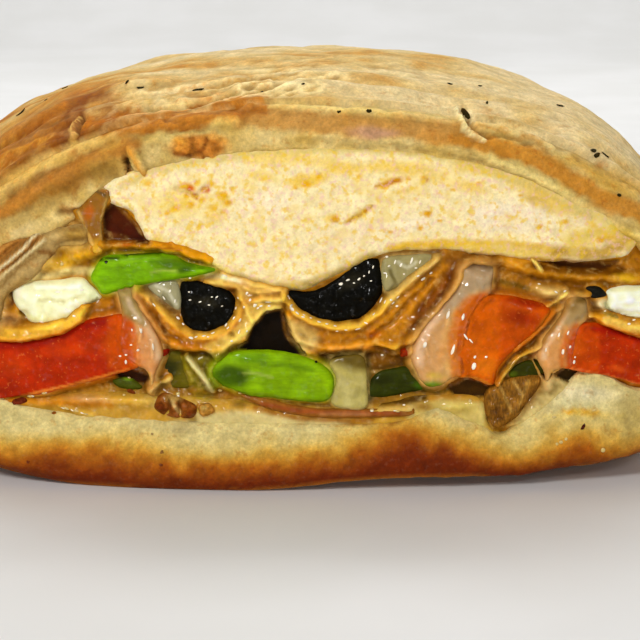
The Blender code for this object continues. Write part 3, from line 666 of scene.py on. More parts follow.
def blurred(grid, rounds):
    """A field over the rings, averaged with its neighbours."""
    for _ in range(rounds):
        grid = 0.5 * grid + 0.25 * (np.roll(grid, 1, axis=1) + np.roll(grid, -1, axis=1))
        grid = 0.5 * grid + 0.25 * (np.vstack([grid[:1], grid[:-1]]) + np.vstack([grid[1:], grid[-1:]]))
    return grid


def make_crust():
    """The baked dough, with its skin, its cut rim and its pocket in one closed mesh."""
    skin, rim = skin_rings(), rim_rings()
    rings = np.array(skin + rim + pocket_rings())
    normals = grid_normals(rings).reshape(-1, 3)
    points = rings.reshape(-1, 3)
    outside, cut = len(skin) * AROUND, (len(skin) + len(rim)) * AROUND
    row = np.repeat(np.arange(len(rings)), AROUND)
    points[:outside] += normals[:outside] * crust_relief(points[:outside])[:, None]
    lifted = resting_height(points)
    share = smooth_step((len(skin) + 22.0 - row) / 6.0)
    points[:, 2] += share * (lifted - points[:, 2])
    view = to_view(points)
    facing = smooth_step(-(normals @ AHEAD) / 0.12)
    seen = facing * near_cut(points[:, 1]) * (row < len(skin) + len(rim))
    front = smooth_step((row - len(skin) + 3.0) / 9.0)
    relief = seen * raised(wandering(view, points, 1.6, 1.8, 60), CRUST_HEIGHTS)
    above = clamp((points[:, 2] + 1.0) / 3.0)
    relief += above * (0.22 * lumps(points, 4.5, 4, 21) + 0.16 * front * lumps(points, 1.6, 3, 22))
    craggy = stroke_weight(wandering(view, points, 2.0, 3.0), ("spot", (198, 146), (40, 17), -3, 0.5))
    crags = 1 - 2.2 * np.abs(lumps(points, 2.4, 3, 23))
    relief += 0.75 * seen * craggy * crags
    x, y, z = points.T
    turned = np.column_stack([0.84 * x + 0.54 * y, 0.84 * y - 0.54 * x, 0.8 * x + z])
    turned = turned + 3.0 * np.column_stack([lumps(turned, 9.0, 2, 61), lumps(turned, 9.0, 2, 63), 0.0 * x])
    slanted = np.column_stack([0.97 * x + 0.25 * y, 0.97 * y - 0.25 * x, z])
    patchy = clamp(0.6 + 1.2 * lumps(turned, 15.0, 3, 29))
    along = smooth_step((y - 6.0) / 6.0) * smooth_step((52.0 - y) / 40.0)
    flaky = above * patchy * bell(x, 0.0, 40.0) * along
    flakes = 1 - 2.4 * np.abs(lumps(slanted * (0.4, 1.0, 1.0), 2.6, 3, 27))
    relief += 0.55 * flaky * flakes
    relief[cut:] = 0.0
    hollow = relief - blurred(relief.reshape(len(rings), AROUND), 6).ravel()
    points += normals * relief[:, None]
    points[:, 2] = np.maximum(points[:, 2], UNDERSIDE)
    colours = crust_colours(points, view, front)
    colours *= (1 - 0.3 * seen * craggy * smooth_step(-crags))[:, None]
    # Browner in the flakes' troughs and paler on their crests: painted shade and painted highlight.
    colours += (linear(FLAKE_TROUGH_SHADE) - colours) * (0.8 * flaky * smooth_step(-flakes - 0.1))[:, None]
    colours += (linear(FLAKE_CREST_HIGHLIGHT) - colours) * (0.6 * flaky * smooth_step(2 * flakes - 0.6))[:, None]
    # Darker in the relief's hollows and lighter on its ridges: painted shade and painted highlight.
    colours *= (1 + 0.4 * np.clip(hollow / 0.3, -1.0, 0.7)[:, None]) ** np.array((1.0, 1.1, 1.3))
    faces = ring_faces(len(rings), AROUND)
    count = len(points)
    points = np.vstack([points, (0.0, LENGTH, POLE_HEIGHT), (0.0, POCKET_END, POLE_HEIGHT)])
    last = (len(rings) - 1) * AROUND
    for i in range(AROUND):
        j = (i + 1) % AROUND
        faces += [(count, j, i), (count + 1, last + i, last + j)]
    colours = np.vstack([colours, colours[0], colours[-1]])
    wet = np.zeros(len(points))
    wet[:count] = 0.8 * seen * stroke_weight(view, ("line", ((550, 416), (625, 414)), 7, 0.8))
    make_piece("crust_baked", points, faces, colours, wet, MATERIALS["crust"], ("bread_crust",))


# Pieces of the filling.


class Finish:
    """How a cut front is rounded: the radius of its edge, how far it swells, and its bumps."""

    def __init__(self, radius, rise, bumps, size):
        self.radius, self.rise, self.bumps, self.size = radius, rise, bumps, size


SWOLLEN = Finish(2.0, 1.4, 0.3, 2.6)
CRISP = Finish(0.8, 0.4, 0.15, 3.0)
SHRIVELLED = Finish(1.6, 1.2, 0.7, 2.0)
SMALL = Finish(0.8, 0.5, 0.2, 1.6)
LAYER = Finish(1.6, 0.9, 0.4, 3.4)


def pocket_wall(depth, inset):
    """The pocket's wall at this depth, in the XZ plane."""
    wall = pocket_outline(bumpiness(depth), 360)
    wall = wall - inset * outward(wall)
    sideways, above, below = loaf_scale(depth * LENGTH / POCKET_END)
    wall[:, 1] = POLE_HEIGHT + (wall[:, 1] - POLE_HEIGHT) * np.where(wall[:, 1] > POLE_HEIGHT, above, below)
    wall[:, 0] *= sideways
    return wall


def nearest_on(places, curve):
    """The closest place to each point on a closed curve."""
    best, found = np.full(len(places), np.inf), places.copy()
    for a, b in zip(curve, np.roll(curve, -1, axis=0)):
        along = b - a
        share = clamp((places - a) @ along / max(along @ along, 1e-12))
        spot = a + share[:, None] * along
        distance = np.hypot(*(places - spot).T)
        closer = distance < best
        best[closer], found[closer] = distance[closer], spot[closer]
    return found


def within_pocket(places, depth, inset=0.25):
    """Draws places of the XZ plane in to the pocket's wall at this depth."""
    wall = pocket_wall(depth, inset)
    outside = area_weight(places, wall, 1e-6) < 0.5
    drawn = places.copy()
    if outside.any():
        drawn[outside] = nearest_on(places[outside], wall)
    return drawn


SMOOTHING_ROUNDS = 14


def smoothed(values, faces, rounds):
    """Each point's value averaged with its neighbours', some rounds over."""
    triangles = np.array([tuple(face) for face in faces])
    a, b = np.vstack([triangles[:, (0, 1)], triangles[:, (1, 2)], triangles[:, (2, 0)]]).T
    count = np.maximum(np.bincount(a, minlength=len(values)) + np.bincount(b, minlength=len(values)), 1)
    for _ in range(rounds):
        total = np.bincount(a, values[b], len(values)) + np.bincount(b, values[a], len(values))
        values = 0.5 * values + 0.5 * total / count
    return values


EDGES = []  # of each piece made so far: its outline, how deep its edge lies, its colour and its slot


def close_to(places, outline, reach=2.0):
    """Which places lie in or near the box round an outline, and how far they are from the outline."""
    low, high = outline.min(axis=0) - reach, outline.max(axis=0) + reach
    close = np.where(np.all((places > low) & (places < high), axis=1))[0]
    return close, line_distance(places[close], [*outline, outline[0]])


def welled_up(places, forward, base_depth):
    """Raises soft cheese where it touches a piece, as it does when it melts round it."""
    for count, (outline, depth, _, _) in enumerate(EDGES):
        close, distance = close_to(places, outline)
        spots = np.column_stack([places[close, 0], np.full(len(close), 3.0 * count), places[close, 1]])
        level = base_depth - depth - 0.25 - 0.8 * distance - 0.3 * distance**2 + 0.5 * lumps(spots, 2.6, 2, 5)
        level = np.minimum(level, base_depth + 0.2)
        higher = clamp(0.5 + 0.5 * (level - forward[close]) / 0.35)
        blended = forward[close] * (1 - higher) + level * higher + 0.35 * higher * (1 - higher)
        forward[close] = np.where(distance < 1.8, blended, forward[close])
    return forward


def shaded_and_smeared(places, colours):
    """Tints soft cheese by the pieces it touches: a trace of their own colour, darkened as painted shade
    where it meets them.
    """
    for outline, _, colour, slot in EDGES:
        if slot in ("olive", "mozzarella", "chicken"):
            continue
        close, distance = close_to(places, outline)
        share = (0.52 * lightness(colours[close]) * (1 - smooth_step(distance / 1.5)))[:, None]
        colours[close] += share * (0.72 * colour - colours[close])
    return colours


def filled_outline(outline, step):
    """Points inside the outline on a staggered grid, and the triangles over them and the outline."""
    low, high = outline.min(axis=0), outline.max(axis=0)
    grid = []
    for row, z in enumerate(np.arange(low[1], high[1], 0.87 * step)):
        xs = np.arange(low[0] + 0.5 * step * (row % 2), high[0], step)
        grid.append(np.column_stack([xs, np.full(len(xs), z)]))
    grid = np.vstack(grid)
    grid = grid[area_weight(grid, outline, 1e-6) > 0.5]
    loop = [*outline, outline[0]]
    grid = grid[line_distance(grid, loop) > 0.45 * step]
    flat = [Vector(place) for place in np.vstack([outline, grid])]
    count = len(outline)
    edges = [(i, (i + 1) % count) for i in range(count)]
    places, _, faces, *_ = delaunay_2d_cdt(flat, edges, [], 1, 1e-6)
    places = np.array([tuple(place) for place in places])
    distance = line_distance(places, loop)
    distance[:count] = 0.0
    return places, faces, distance


def back_faces(outline):
    """The triangles over an outline, turned to face away from the view."""
    flat = [Vector(place) for place in outline]
    edges = [(i, (i + 1) % len(outline)) for i in range(len(outline))]
    return [tuple(face)[::-1] for face in delaunay_2d_cdt(flat, edges, [], 1, 1e-6)[2]]


def wobbled(outline, reach, seed):
    """The outline with small irregular waves, as a torn or cut edge has."""
    flat = np.column_stack([outline[:, 0], np.full(len(outline), 9.0 * seed), outline[:, 1]])
    return outline + reach * lumps(flat, 1.7, 3, seed)[:, None] * outward(outline)


def front_relief(places, faces, distance, flat, shifted, finish, seed, heights, more):
    """How far each point of a piece's front stands forward of its edge."""
    edge = np.sqrt(1 - (1 - np.minimum(distance / finish.radius, 1.0)) ** 2)
    near_wall = 0.0
    if more.get("walls"):
        near_wall = 1 - smooth_step(line_distance(places, [*pocket_wall(0.0, 0.0)]) / 1.6)
        edge = edge + (1 - edge) * near_wall
    swell = finish.rise * (0.7 * edge + 0.3 * (1 - np.exp(-distance / (2.5 * finish.radius))))
    inner = np.maximum(smooth_step(distance / (0.8 * finish.radius)), near_wall)
    forward = swell + finish.bumps * inner * lumps(flat, finish.size, 3, seed)
    forward += more.get("ripple", 0.07) * inner * lumps(flat, 0.9, 2, seed + 9)
    if more.get("melted"):
        forward = welled_up(places, forward, more["melted"])
    forward += np.maximum(smooth_step(distance / 0.5), near_wall) * raised(shifted, heights)
    forward = np.maximum(forward, raised(shifted, more.get("seam", ())))
    hollow = forward - smoothed(forward, faces, SMOOTHING_ROUNDS)
    return forward, hollow * smooth_step(distance / 0.9)


def chunk(name, node, slot, corners, near, far, finish, base, tints=(), heights=(), **more):
    """A piece of the filling: a finely shaped front within its outline, and sides running back.

    near and far are how far behind the cut its edge and its end lie. base is its colour.
    """
    step, seed = more.get("step", 0.42), len(name)
    outline = wobbled(smooth_outline(corners, step), more.get("wobble", 0.12), seed)
    if more.get("walls"):
        outline = resampled(within_pocket(outline, 0.0, -0.9), len(outline))
    places, faces, distance = filled_outline(outline, step)
    count = len(outline)
    x, z = places.T
    flat = np.column_stack([x, np.zeros(len(x)), z])
    view = to_view(np.column_stack([x, face_depth(x, z), z]))
    shifted = wandering(view, flat, 2.0, more.get("reach", 1.2))
    forward, hollow = front_relief(places, faces, distance, flat, shifted, finish, seed, heights, more)
    rows = [np.column_stack([x, near + finish.rise - forward, z])]
    steps = np.array((0.0, 0.03, 0.08, 0.16, 0.3, 0.5, 0.75, 1.0))
    depths = near + finish.rise + (far - near) * steps
    centre = outline.mean(axis=0)
    for depth, share in zip(depths[1:], steps[1:]):
        ring = centre + (outline - centre) * (1 - more.get("taper", 0.0) * share)
        if more.get("walls"):
            ring = within_pocket(ring, depth)
        rows.append(np.column_stack([ring[:, 0], np.full(count, depth), ring[:, 1]]))
    points = np.vstack(rows)
    first = len(x)
    sides = [(i, i + first, (i + 1) % count + first, (i + 1) % count) for i in range(count)]
    sides += [face[::-1] for face in ring_faces(len(depths) - 1, count, first)]
    last = len(points) - count
    back = [tuple(last + i for i in face) for face in back_faces(places[:count])]
    shell = [tuple(face) for face in faces] + sides + back
    fade = 1 - clamp(points[:, 1] / LENGTH)
    points[:, 1] += fade * face_depth(points[:, 0], points[:, 2])
    painted = np.tile(linear(base), (len(points), 1))
    shade = more.get("mottle", 0.12) * lumps(points, more.get("blotch", 2.4), 3, seed + 3)
    painted *= (1 + shade)[:, None]
    all_view = wandering(to_view(points), points, 2.0, more.get("reach", 1.2))
    painted = tinted(painted, all_view, tints)
    if more.get("melted"):
        # Next to each piece the cheese takes a trace of its colour and painted shade.
        painted[:first] = shaded_and_smeared(places, painted[:first])
    # Darker in the front's hollows and lighter on its bumps: painted shade and painted highlight.
    depth_shade = more.get("shading", 0.3) * np.clip(hollow / 0.4, -1.0, 1.0)
    painted[:first] *= (1 + depth_shade[:, None]) ** np.array((1.0, 1.15, 1.4))
    wet = more.get("wet", 0.8) * np.ones(len(points))
    wet[:first] *= smooth_step(1.0 + 0.8 * (forward + 0.2))
    if more.get("melted"):
        wet *= lightness(painted)
    EDGES.append((outline, near + finish.rise, linear(base), slot))
    make_piece(name, points, shell, painted, wet, MATERIALS[slot], (node,))


# Materials.


class Nodes:
    """A material's nodes, added by short calls. Patterns are in millimetres of the model's frame."""

    def __init__(self, name):
        self.material = bpy.data.materials.new(name)
        self.material.use_nodes = True
        self.tree = self.material.node_tree
        self.shader = self.tree.nodes["Principled BSDF"]
        place = self.add("ShaderNodeTexCoord")
        scaled = self.add("ShaderNodeMapping")
        scaled.inputs["Scale"].default_value = (1000.0, 1000.0, 1000.0)
        self.link(place.outputs["Object"], scaled.inputs["Vector"])
        self.place = scaled.outputs["Vector"]

    def add(self, kind, **settings):
        node = self.tree.nodes.new(kind)
        for key, value in settings.items():
            setattr(node, key, value)
        return node

    def link(self, source, target):
        self.tree.links.new(source, target)

    def stretched(self, scale):
        node = self.add("ShaderNodeMapping")
        node.inputs["Scale"].default_value = scale
        self.link(self.place, node.inputs["Vector"])
        return node.outputs["Vector"]

    def noise(self, size, detail=3.0, rough=0.55, place=None, distortion=0.0):
        node = self.add("ShaderNodeTexNoise")
        node.inputs["Scale"].default_value = 1.0 / size
        node.inputs["Detail"].default_value = detail
        node.inputs["Roughness"].default_value = rough
        node.inputs["Distortion"].default_value = distortion
        self.link(place or self.place, node.inputs["Vector"])
        return node.outputs["Fac"]

    def ranged(self, value, low, high, to_low=0.0, to_high=1.0):
        node = self.add("ShaderNodeMapRange", interpolation_type="SMOOTHSTEP")
        self.link(value, node.inputs["Value"])
        for key, number in (("From Min", low), ("From Max", high), ("To Min", to_low), ("To Max", to_high)):
            node.inputs[key].default_value = number
        return node.outputs["Result"]

    def maths(self, operation, a, b):
        node = self.add("ShaderNodeMath", operation=operation)
        for value, socket in ((a, node.inputs[0]), (b, node.inputs[1])):
            if isinstance(value, (int, float)):
                socket.default_value = value
            else:
                self.link(value, socket)
        return node.outputs[0]

    def mix(self, share, a, b, blend="MIX"):
        node = self.add("ShaderNodeMix", data_type="RGBA", blend_type=blend)
        for value, socket in ((share, node.inputs[0]), (a, node.inputs[6]), (b, node.inputs[7])):
            if isinstance(value, (int, float)):
                socket.default_value = value
            elif isinstance(value, tuple):
                socket.default_value = (*linear(value), 1.0)
            else:
                self.link(value, socket)
        return node.outputs[2]

    def attribute(self, name, output="Color"):
        return self.add("ShaderNodeAttribute", attribute_name=name).outputs[output]

    def shaded(self, colour, value, low, high):
        """The colour made darker or lighter by a pattern that runs from 0 to 1."""
        node = self.add("ShaderNodeVectorMath", operation="SCALE")
        self.link(colour, node.inputs[0])
        self.link(self.ranged(value, 0.25, 0.75, low, high), node.inputs["Scale"])
        return node.outputs[0]

    def bump(self, height, distance, strength=1.0, below=None):
        node = self.add("ShaderNodeBump")
        node.inputs["Strength"].default_value = strength
        node.inputs["Distance"].default_value = distance * MM
        self.link(height, node.inputs["Height"])
        if below:
            self.link(below, node.inputs["Normal"])
        return node.outputs["Normal"]

    def finish(self, colour, roughness, normal, **settings):
        self.link(colour, self.shader.inputs["Base Color"])
        self.link(roughness, self.shader.inputs["Roughness"])
        self.link(normal, self.shader.inputs["Normal"])
        for key, value in settings.items():
            self.shader.inputs[key.replace("_", " ")].default_value = value
        return self.material


def crust_material():
    """Baked dough: mottled and freckled, with a floury crumb and fine pores."""
    n = Nodes("baked_crust")
    tint = n.attribute("tint")
    blotch = n.noise(2.6, 4.0, 0.6)
    grain = n.noise(0.55, 3.0, 0.65)
    colour = n.shaded(tint, blotch, 0.86, 1.12)
    colour = n.shaded(colour, grain, 0.84, 1.14)
    freckle = n.ranged(n.noise(1.3, 3.0, 0.6, n.stretched((1.0, 1.7, 1.0))), 0.56, 0.7, 0.0, 0.4)
    colour = n.mix(freckle, colour, n.mix(1.0, colour, (226, 178, 120), "MULTIPLY"))
    floury = n.ranged(n.noise(0.8, 3.0, 0.6), 0.52, 0.78, 0.0, 0.03)
    colour = n.mix(floury, colour, (238, 224, 184))
    fibres = n.noise(0.5, 2.0, 0.5, n.stretched((1.0, 0.4, 0.35)))
    rough = n.ranged(grain, 0.2, 0.8, 0.62, 0.9)
    rough = n.maths("SUBTRACT", rough, n.maths("MULTIPLY", n.attribute("wet", "Fac"), 0.5))
    normal = n.bump(grain, 0.12, 0.7)
    normal = n.bump(fibres, 0.1, 0.6, normal)
    normal = n.bump(blotch, 0.35, 0.6, normal)
    return n.finish(
        colour, rough, normal, Subsurface_Weight=0.12, Subsurface_Scale=0.0015,
        Subsurface_Radius=(1.0, 0.5, 0.25), Specular_IOR_Level=0.1,
    )


def moist_material(name, grain_size, grain_depth, rough, coat, scatter, **more):
    """Wet food: its tint, mottled and grained, under a film that wets it unevenly.

    Each speckle is its size, the noise where it starts and is full, its strength and its colour.
    """
    n = Nodes(name)
    tint = n.attribute("tint")
    blotch = n.noise(more.get("blotch", 1.8), 4.0, 0.55, distortion=0.4)
    grain = n.noise(grain_size, 3.0, 0.6, n.stretched(more.get("stretch", (1.0, 1.0, 1.0))))
    low, high = more.get("mottle", (0.9, 1.1))
    colour = n.shaded(tint, blotch, low, high)
    low, high = more.get("graining", (0.95, 1.05))
    colour = n.shaded(colour, grain, low, high)
    for size, start, end, strength, speckle in more.get("speckles", ()):
        share = n.ranged(n.noise(size, 2.0, 0.5), start, end, 0.0, strength)
        share = n.maths("MULTIPLY", share, n.ranged(n.attribute("wet", "Fac"), 0.0, 0.25))
        colour = n.mix(share, colour, speckle)
    base_rough = n.ranged(n.noise(1.1, 3.0, 0.5), 0.3, 0.7, rough, rough + 0.18)
    rough_value = n.maths("SUBTRACT", base_rough, n.maths("MULTIPLY", n.attribute("wet", "Fac"), 0.12))
    normal = n.bump(grain, grain_depth, 0.8)
    if "wrinkle" in more:
        size, depth = more["wrinkle"]
        normal = n.bump(n.noise(size, 4.0, 0.6, distortion=1.2), depth, 0.9, normal)
    normal = n.bump(blotch, more.get("ripple", 0.12), 0.5, normal)
    dry = more.get("dry", 0.5)
    film = n.ranged(n.noise(0.9, 2.0, 0.5), dry, dry + 0.07, 0.05 * coat, 1.25 * coat)
    film = n.maths("MULTIPLY", film, n.attribute("wet", "Fac"))
    n.link(film, n.shader.inputs["Coat Weight"])
    return n.finish(
        colour, rough_value, normal, Subsurface_Weight=scatter, Subsurface_Scale=0.002,
        Subsurface_Radius=more.get("radius", (1.0, 0.5, 0.25)), Specular_IOR_Level=0.05,
        Coat_Roughness=more.get("coat_roughness", 0.08),
    )


MATERIALS = {
    "crust": crust_material(),
    "chicken": moist_material(
        "chicken_grain", 0.45, 0.12, 0.6, 0.1, 0.2, blotch=1.2, mottle=(0.94, 1.06), graining=(0.92, 1.08),
        speckles=(
            (3.4, 0.5, 0.66, 0.5, (238, 208, 116)), (1.1, 0.5, 0.72, 0.75, (236, 194, 48)),
            (0.8, 0.5, 0.76, 0.6, (236, 186, 174)),
        ),
    ),
    "orange_cheese": moist_material(
        "melted_cheese", 0.9, 0.12, 0.5, 0.55, 0.25, dry=0.51, mottle=(0.86, 1.14), ripple=0.22,
        speckles=((1.3, 0.5, 0.8, 0.3, (236, 196, 110)),),
    ),
    "pale_cheese": moist_material(
        "pale_cheese", 0.8, 0.08, 0.5, 0.7, 0.3, dry=0.54, mottle=(0.86, 1.14), ripple=0.2,
        speckles=((1.4, 0.5, 0.8, 0.3, (236, 206, 140)),),
    ),
    "mozzarella": moist_material(
        "soft_white_cheese", 0.9, 0.05, 0.5, 0.8, 0.5, blotch=2.2, mottle=(0.95, 1.05), ripple=0.18,
        radius=(1.0, 0.85, 0.6),
    ),
    "tomato": moist_material(
        "tomato_flesh", 0.6, 0.04, 0.5, 0.4, 0.3, dry=0.57, blotch=2.4, mottle=(0.8, 1.2),
        radius=(1.0, 0.25, 0.08), speckles=((0.7, 0.62, 0.72, 0.35, (226, 120, 50)),),
    ),
    "pepper": moist_material(
        "pepper_flesh", 0.7, 0.05, 0.5, 0.4, 0.15, dry=0.58, blotch=2.6, mottle=(0.8, 1.2),
        stretch=(0.3, 1.0, 1.3), graining=(0.86, 1.14), radius=(0.4, 1.0, 0.1),
    ),
    "olive": moist_material(
        "olive_skin", 0.5, 0.06, 0.6, 0.5, 0.0, dry=0.6, blotch=1.0, mottle=(0.6, 1.3), wrinkle=(1.5, 0.35),
        coat_roughness=0.1,
    ),
    "onion": moist_material(
        "onion_flesh", 0.8, 0.05, 0.5, 0.8, 0.4, blotch=1.6, mottle=(0.86, 1.12), ripple=0.15,
        stretch=(1.6, 1.0, 0.4), radius=(1.0, 0.9, 0.6),
    ),
    "melt": moist_material(
        "wet_white_cheese", 1.0, 0.06, 0.5, 0.95, 0.3, dry=0.48, blotch=2.0, mottle=(0.92, 1.08),
        coat_roughness=0.05,
    ),
    # Flat bright white for the beads that are painted highlights.
    "gleam": moist_material("painted_glint_white", 0.8, 0.0, 0.4, 0.9, 0.0, dry=0.2, mottle=(0.98, 1.02)),
    "sausage": moist_material(
        "sausage_crumb", 0.6, 0.12, 0.5, 0.6, 0.1, blotch=0.9, mottle=(0.6, 1.4), wrinkle=(0.9, 0.3),
    ),
    "meat": moist_material(
        "meat_fibre", 0.5, 0.2, 0.6, 0.25, 0.1, blotch=1.2, mottle=(0.75, 1.25), graining=(0.6, 1.4),
        stretch=(1.8, 1.0, 0.45),
    ),
    "ham": moist_material(
        "ham_slice", 0.7, 0.06, 0.5, 0.5, 0.2, blotch=1.5, mottle=(0.8, 1.2), radius=(1.0, 0.4, 0.2)
    ),
}


# The filling, piece by piece. Outlines are those of the solids.

LEFT_PAIR_TINTS = (
    ((206, 66, 0), 0.6, ("spot", (70, 350), (44, 12), -8)),
    # Dark red along the top edge: painted shade under the cheese above.
    ((140, 14, 0), 0.8, ("line", ((-10, 347), (40, 344), (84, 327), (108, 321), (122, 316)), 6, 0.9)),
    ((206, 84, 10), 0.85, ("spot", (118, 344), (26, 24), 0, 0.9)),
    ((198, 62, 6), 0.7, ("spot", (14, 366), (24, 16), 0, 0.9)),
    ((140, 28, 4), 0.7, ("spot", (6, 390), (22, 8), 0, 0.9)),
    ((238, 140, 60), 0.85, ("line", ((20, 397), (60, 388), (100, 378), (134, 367)), 2.4, 0.8)),
)

# Where a melt lies on its tomato, and how far both stand forward there.
LEFT_SEAM_LINE = ((122, 318), (121, 335), (124, 353), (136, 364))
MIDDLE_SEAM_LINE = ((489, 292), (481, 301), (472, 314), (466, 334), (462, 355), (463, 372))
RIGHT_SEAM_LINE = ((587, 318), (579, 327), (575, 340), (572, 355), (571, 366))

LEFT_SEAM = (
    ((194, 74, 0), 0.95, ("area", ((108, 312), (134, 312), (135, 330), (135, 350), (137, 369),
     (108, 369)), 3)),
    ((216, 112, 36), 0.85, ("line", ((133, 334), (136, 350), (138, 368)), 7)),
)

MIDDLE_PAIR_TINTS = (
    # Dark red along the top edge: painted shade under the cheese above.
    ((150, 34, 0), 0.9, ("spot", (526, 303), (30, 7), 9, 0.8)),
    ((142, 34, 0), 0.8, ("spot", (522, 318), (28, 12), 12, 0.9)),
    ((182, 74, 6), 0.7, ("spot", (470, 300), (24, 8), 0, 0.9)),
    ((222, 120, 22), 0.8, ("spot", (484, 366), (20, 18), 0, 0.9)),
    ((212, 104, 14), 0.6, ("spot", (474, 346), (14, 18), 0, 0.9)),
    ((238, 150, 56), 0.85, ("line", ((455, 379), (470, 377), (482, 381), (496, 388)), 2.2, 0.8)),
    ((168, 112, 34), 0.75, ("line", ((552, 312), (532, 338), (508, 358), (498, 384)), 4, 0.9)),
)

MIDDLE_SEAM = (
    (
        (204, 92, 0), 0.95,
        ("area", ((486, 290), (470, 298), (459, 314), (454, 334), (455, 352), (458, 380), (500, 384),
         (500, 290))),
    ),
    ((212, 116, 30), 0.85, ("line", ((470, 298), (458, 314), (452, 334), (452, 352), (456, 374)), 8)),
)

RIGHT_PAIR_TINTS = (
    # Dark red along the top edge: painted shade under the cheese above.
    ((150, 15, 0), 0.85, ("line", ((594, 329), (616, 332), (650, 343)), 6, 0.9)),
    ((206, 88, 10), 0.85, ("spot", (574, 346), (18, 22), 0, 0.9)),
    ((222, 92, 30), 0.6, ("spot", (618, 369), (14, 5), 12, 0.9)),
    ((240, 124, 60), 0.85, ("line", ((566, 367), (585, 372), (610, 378), (645, 385)), 2.2, 0.8)),
)

RIGHT_SEAM = (
    ((196, 70, 0), 0.92, ("area", ((588, 320), (574, 328), (568, 344), (566, 370), (600, 372),
     (600, 320)), 3)),
    ((208, 102, 28), 0.8, ("line", ((577, 324), (567, 336), (563, 350), (562, 366)), 6)),
)


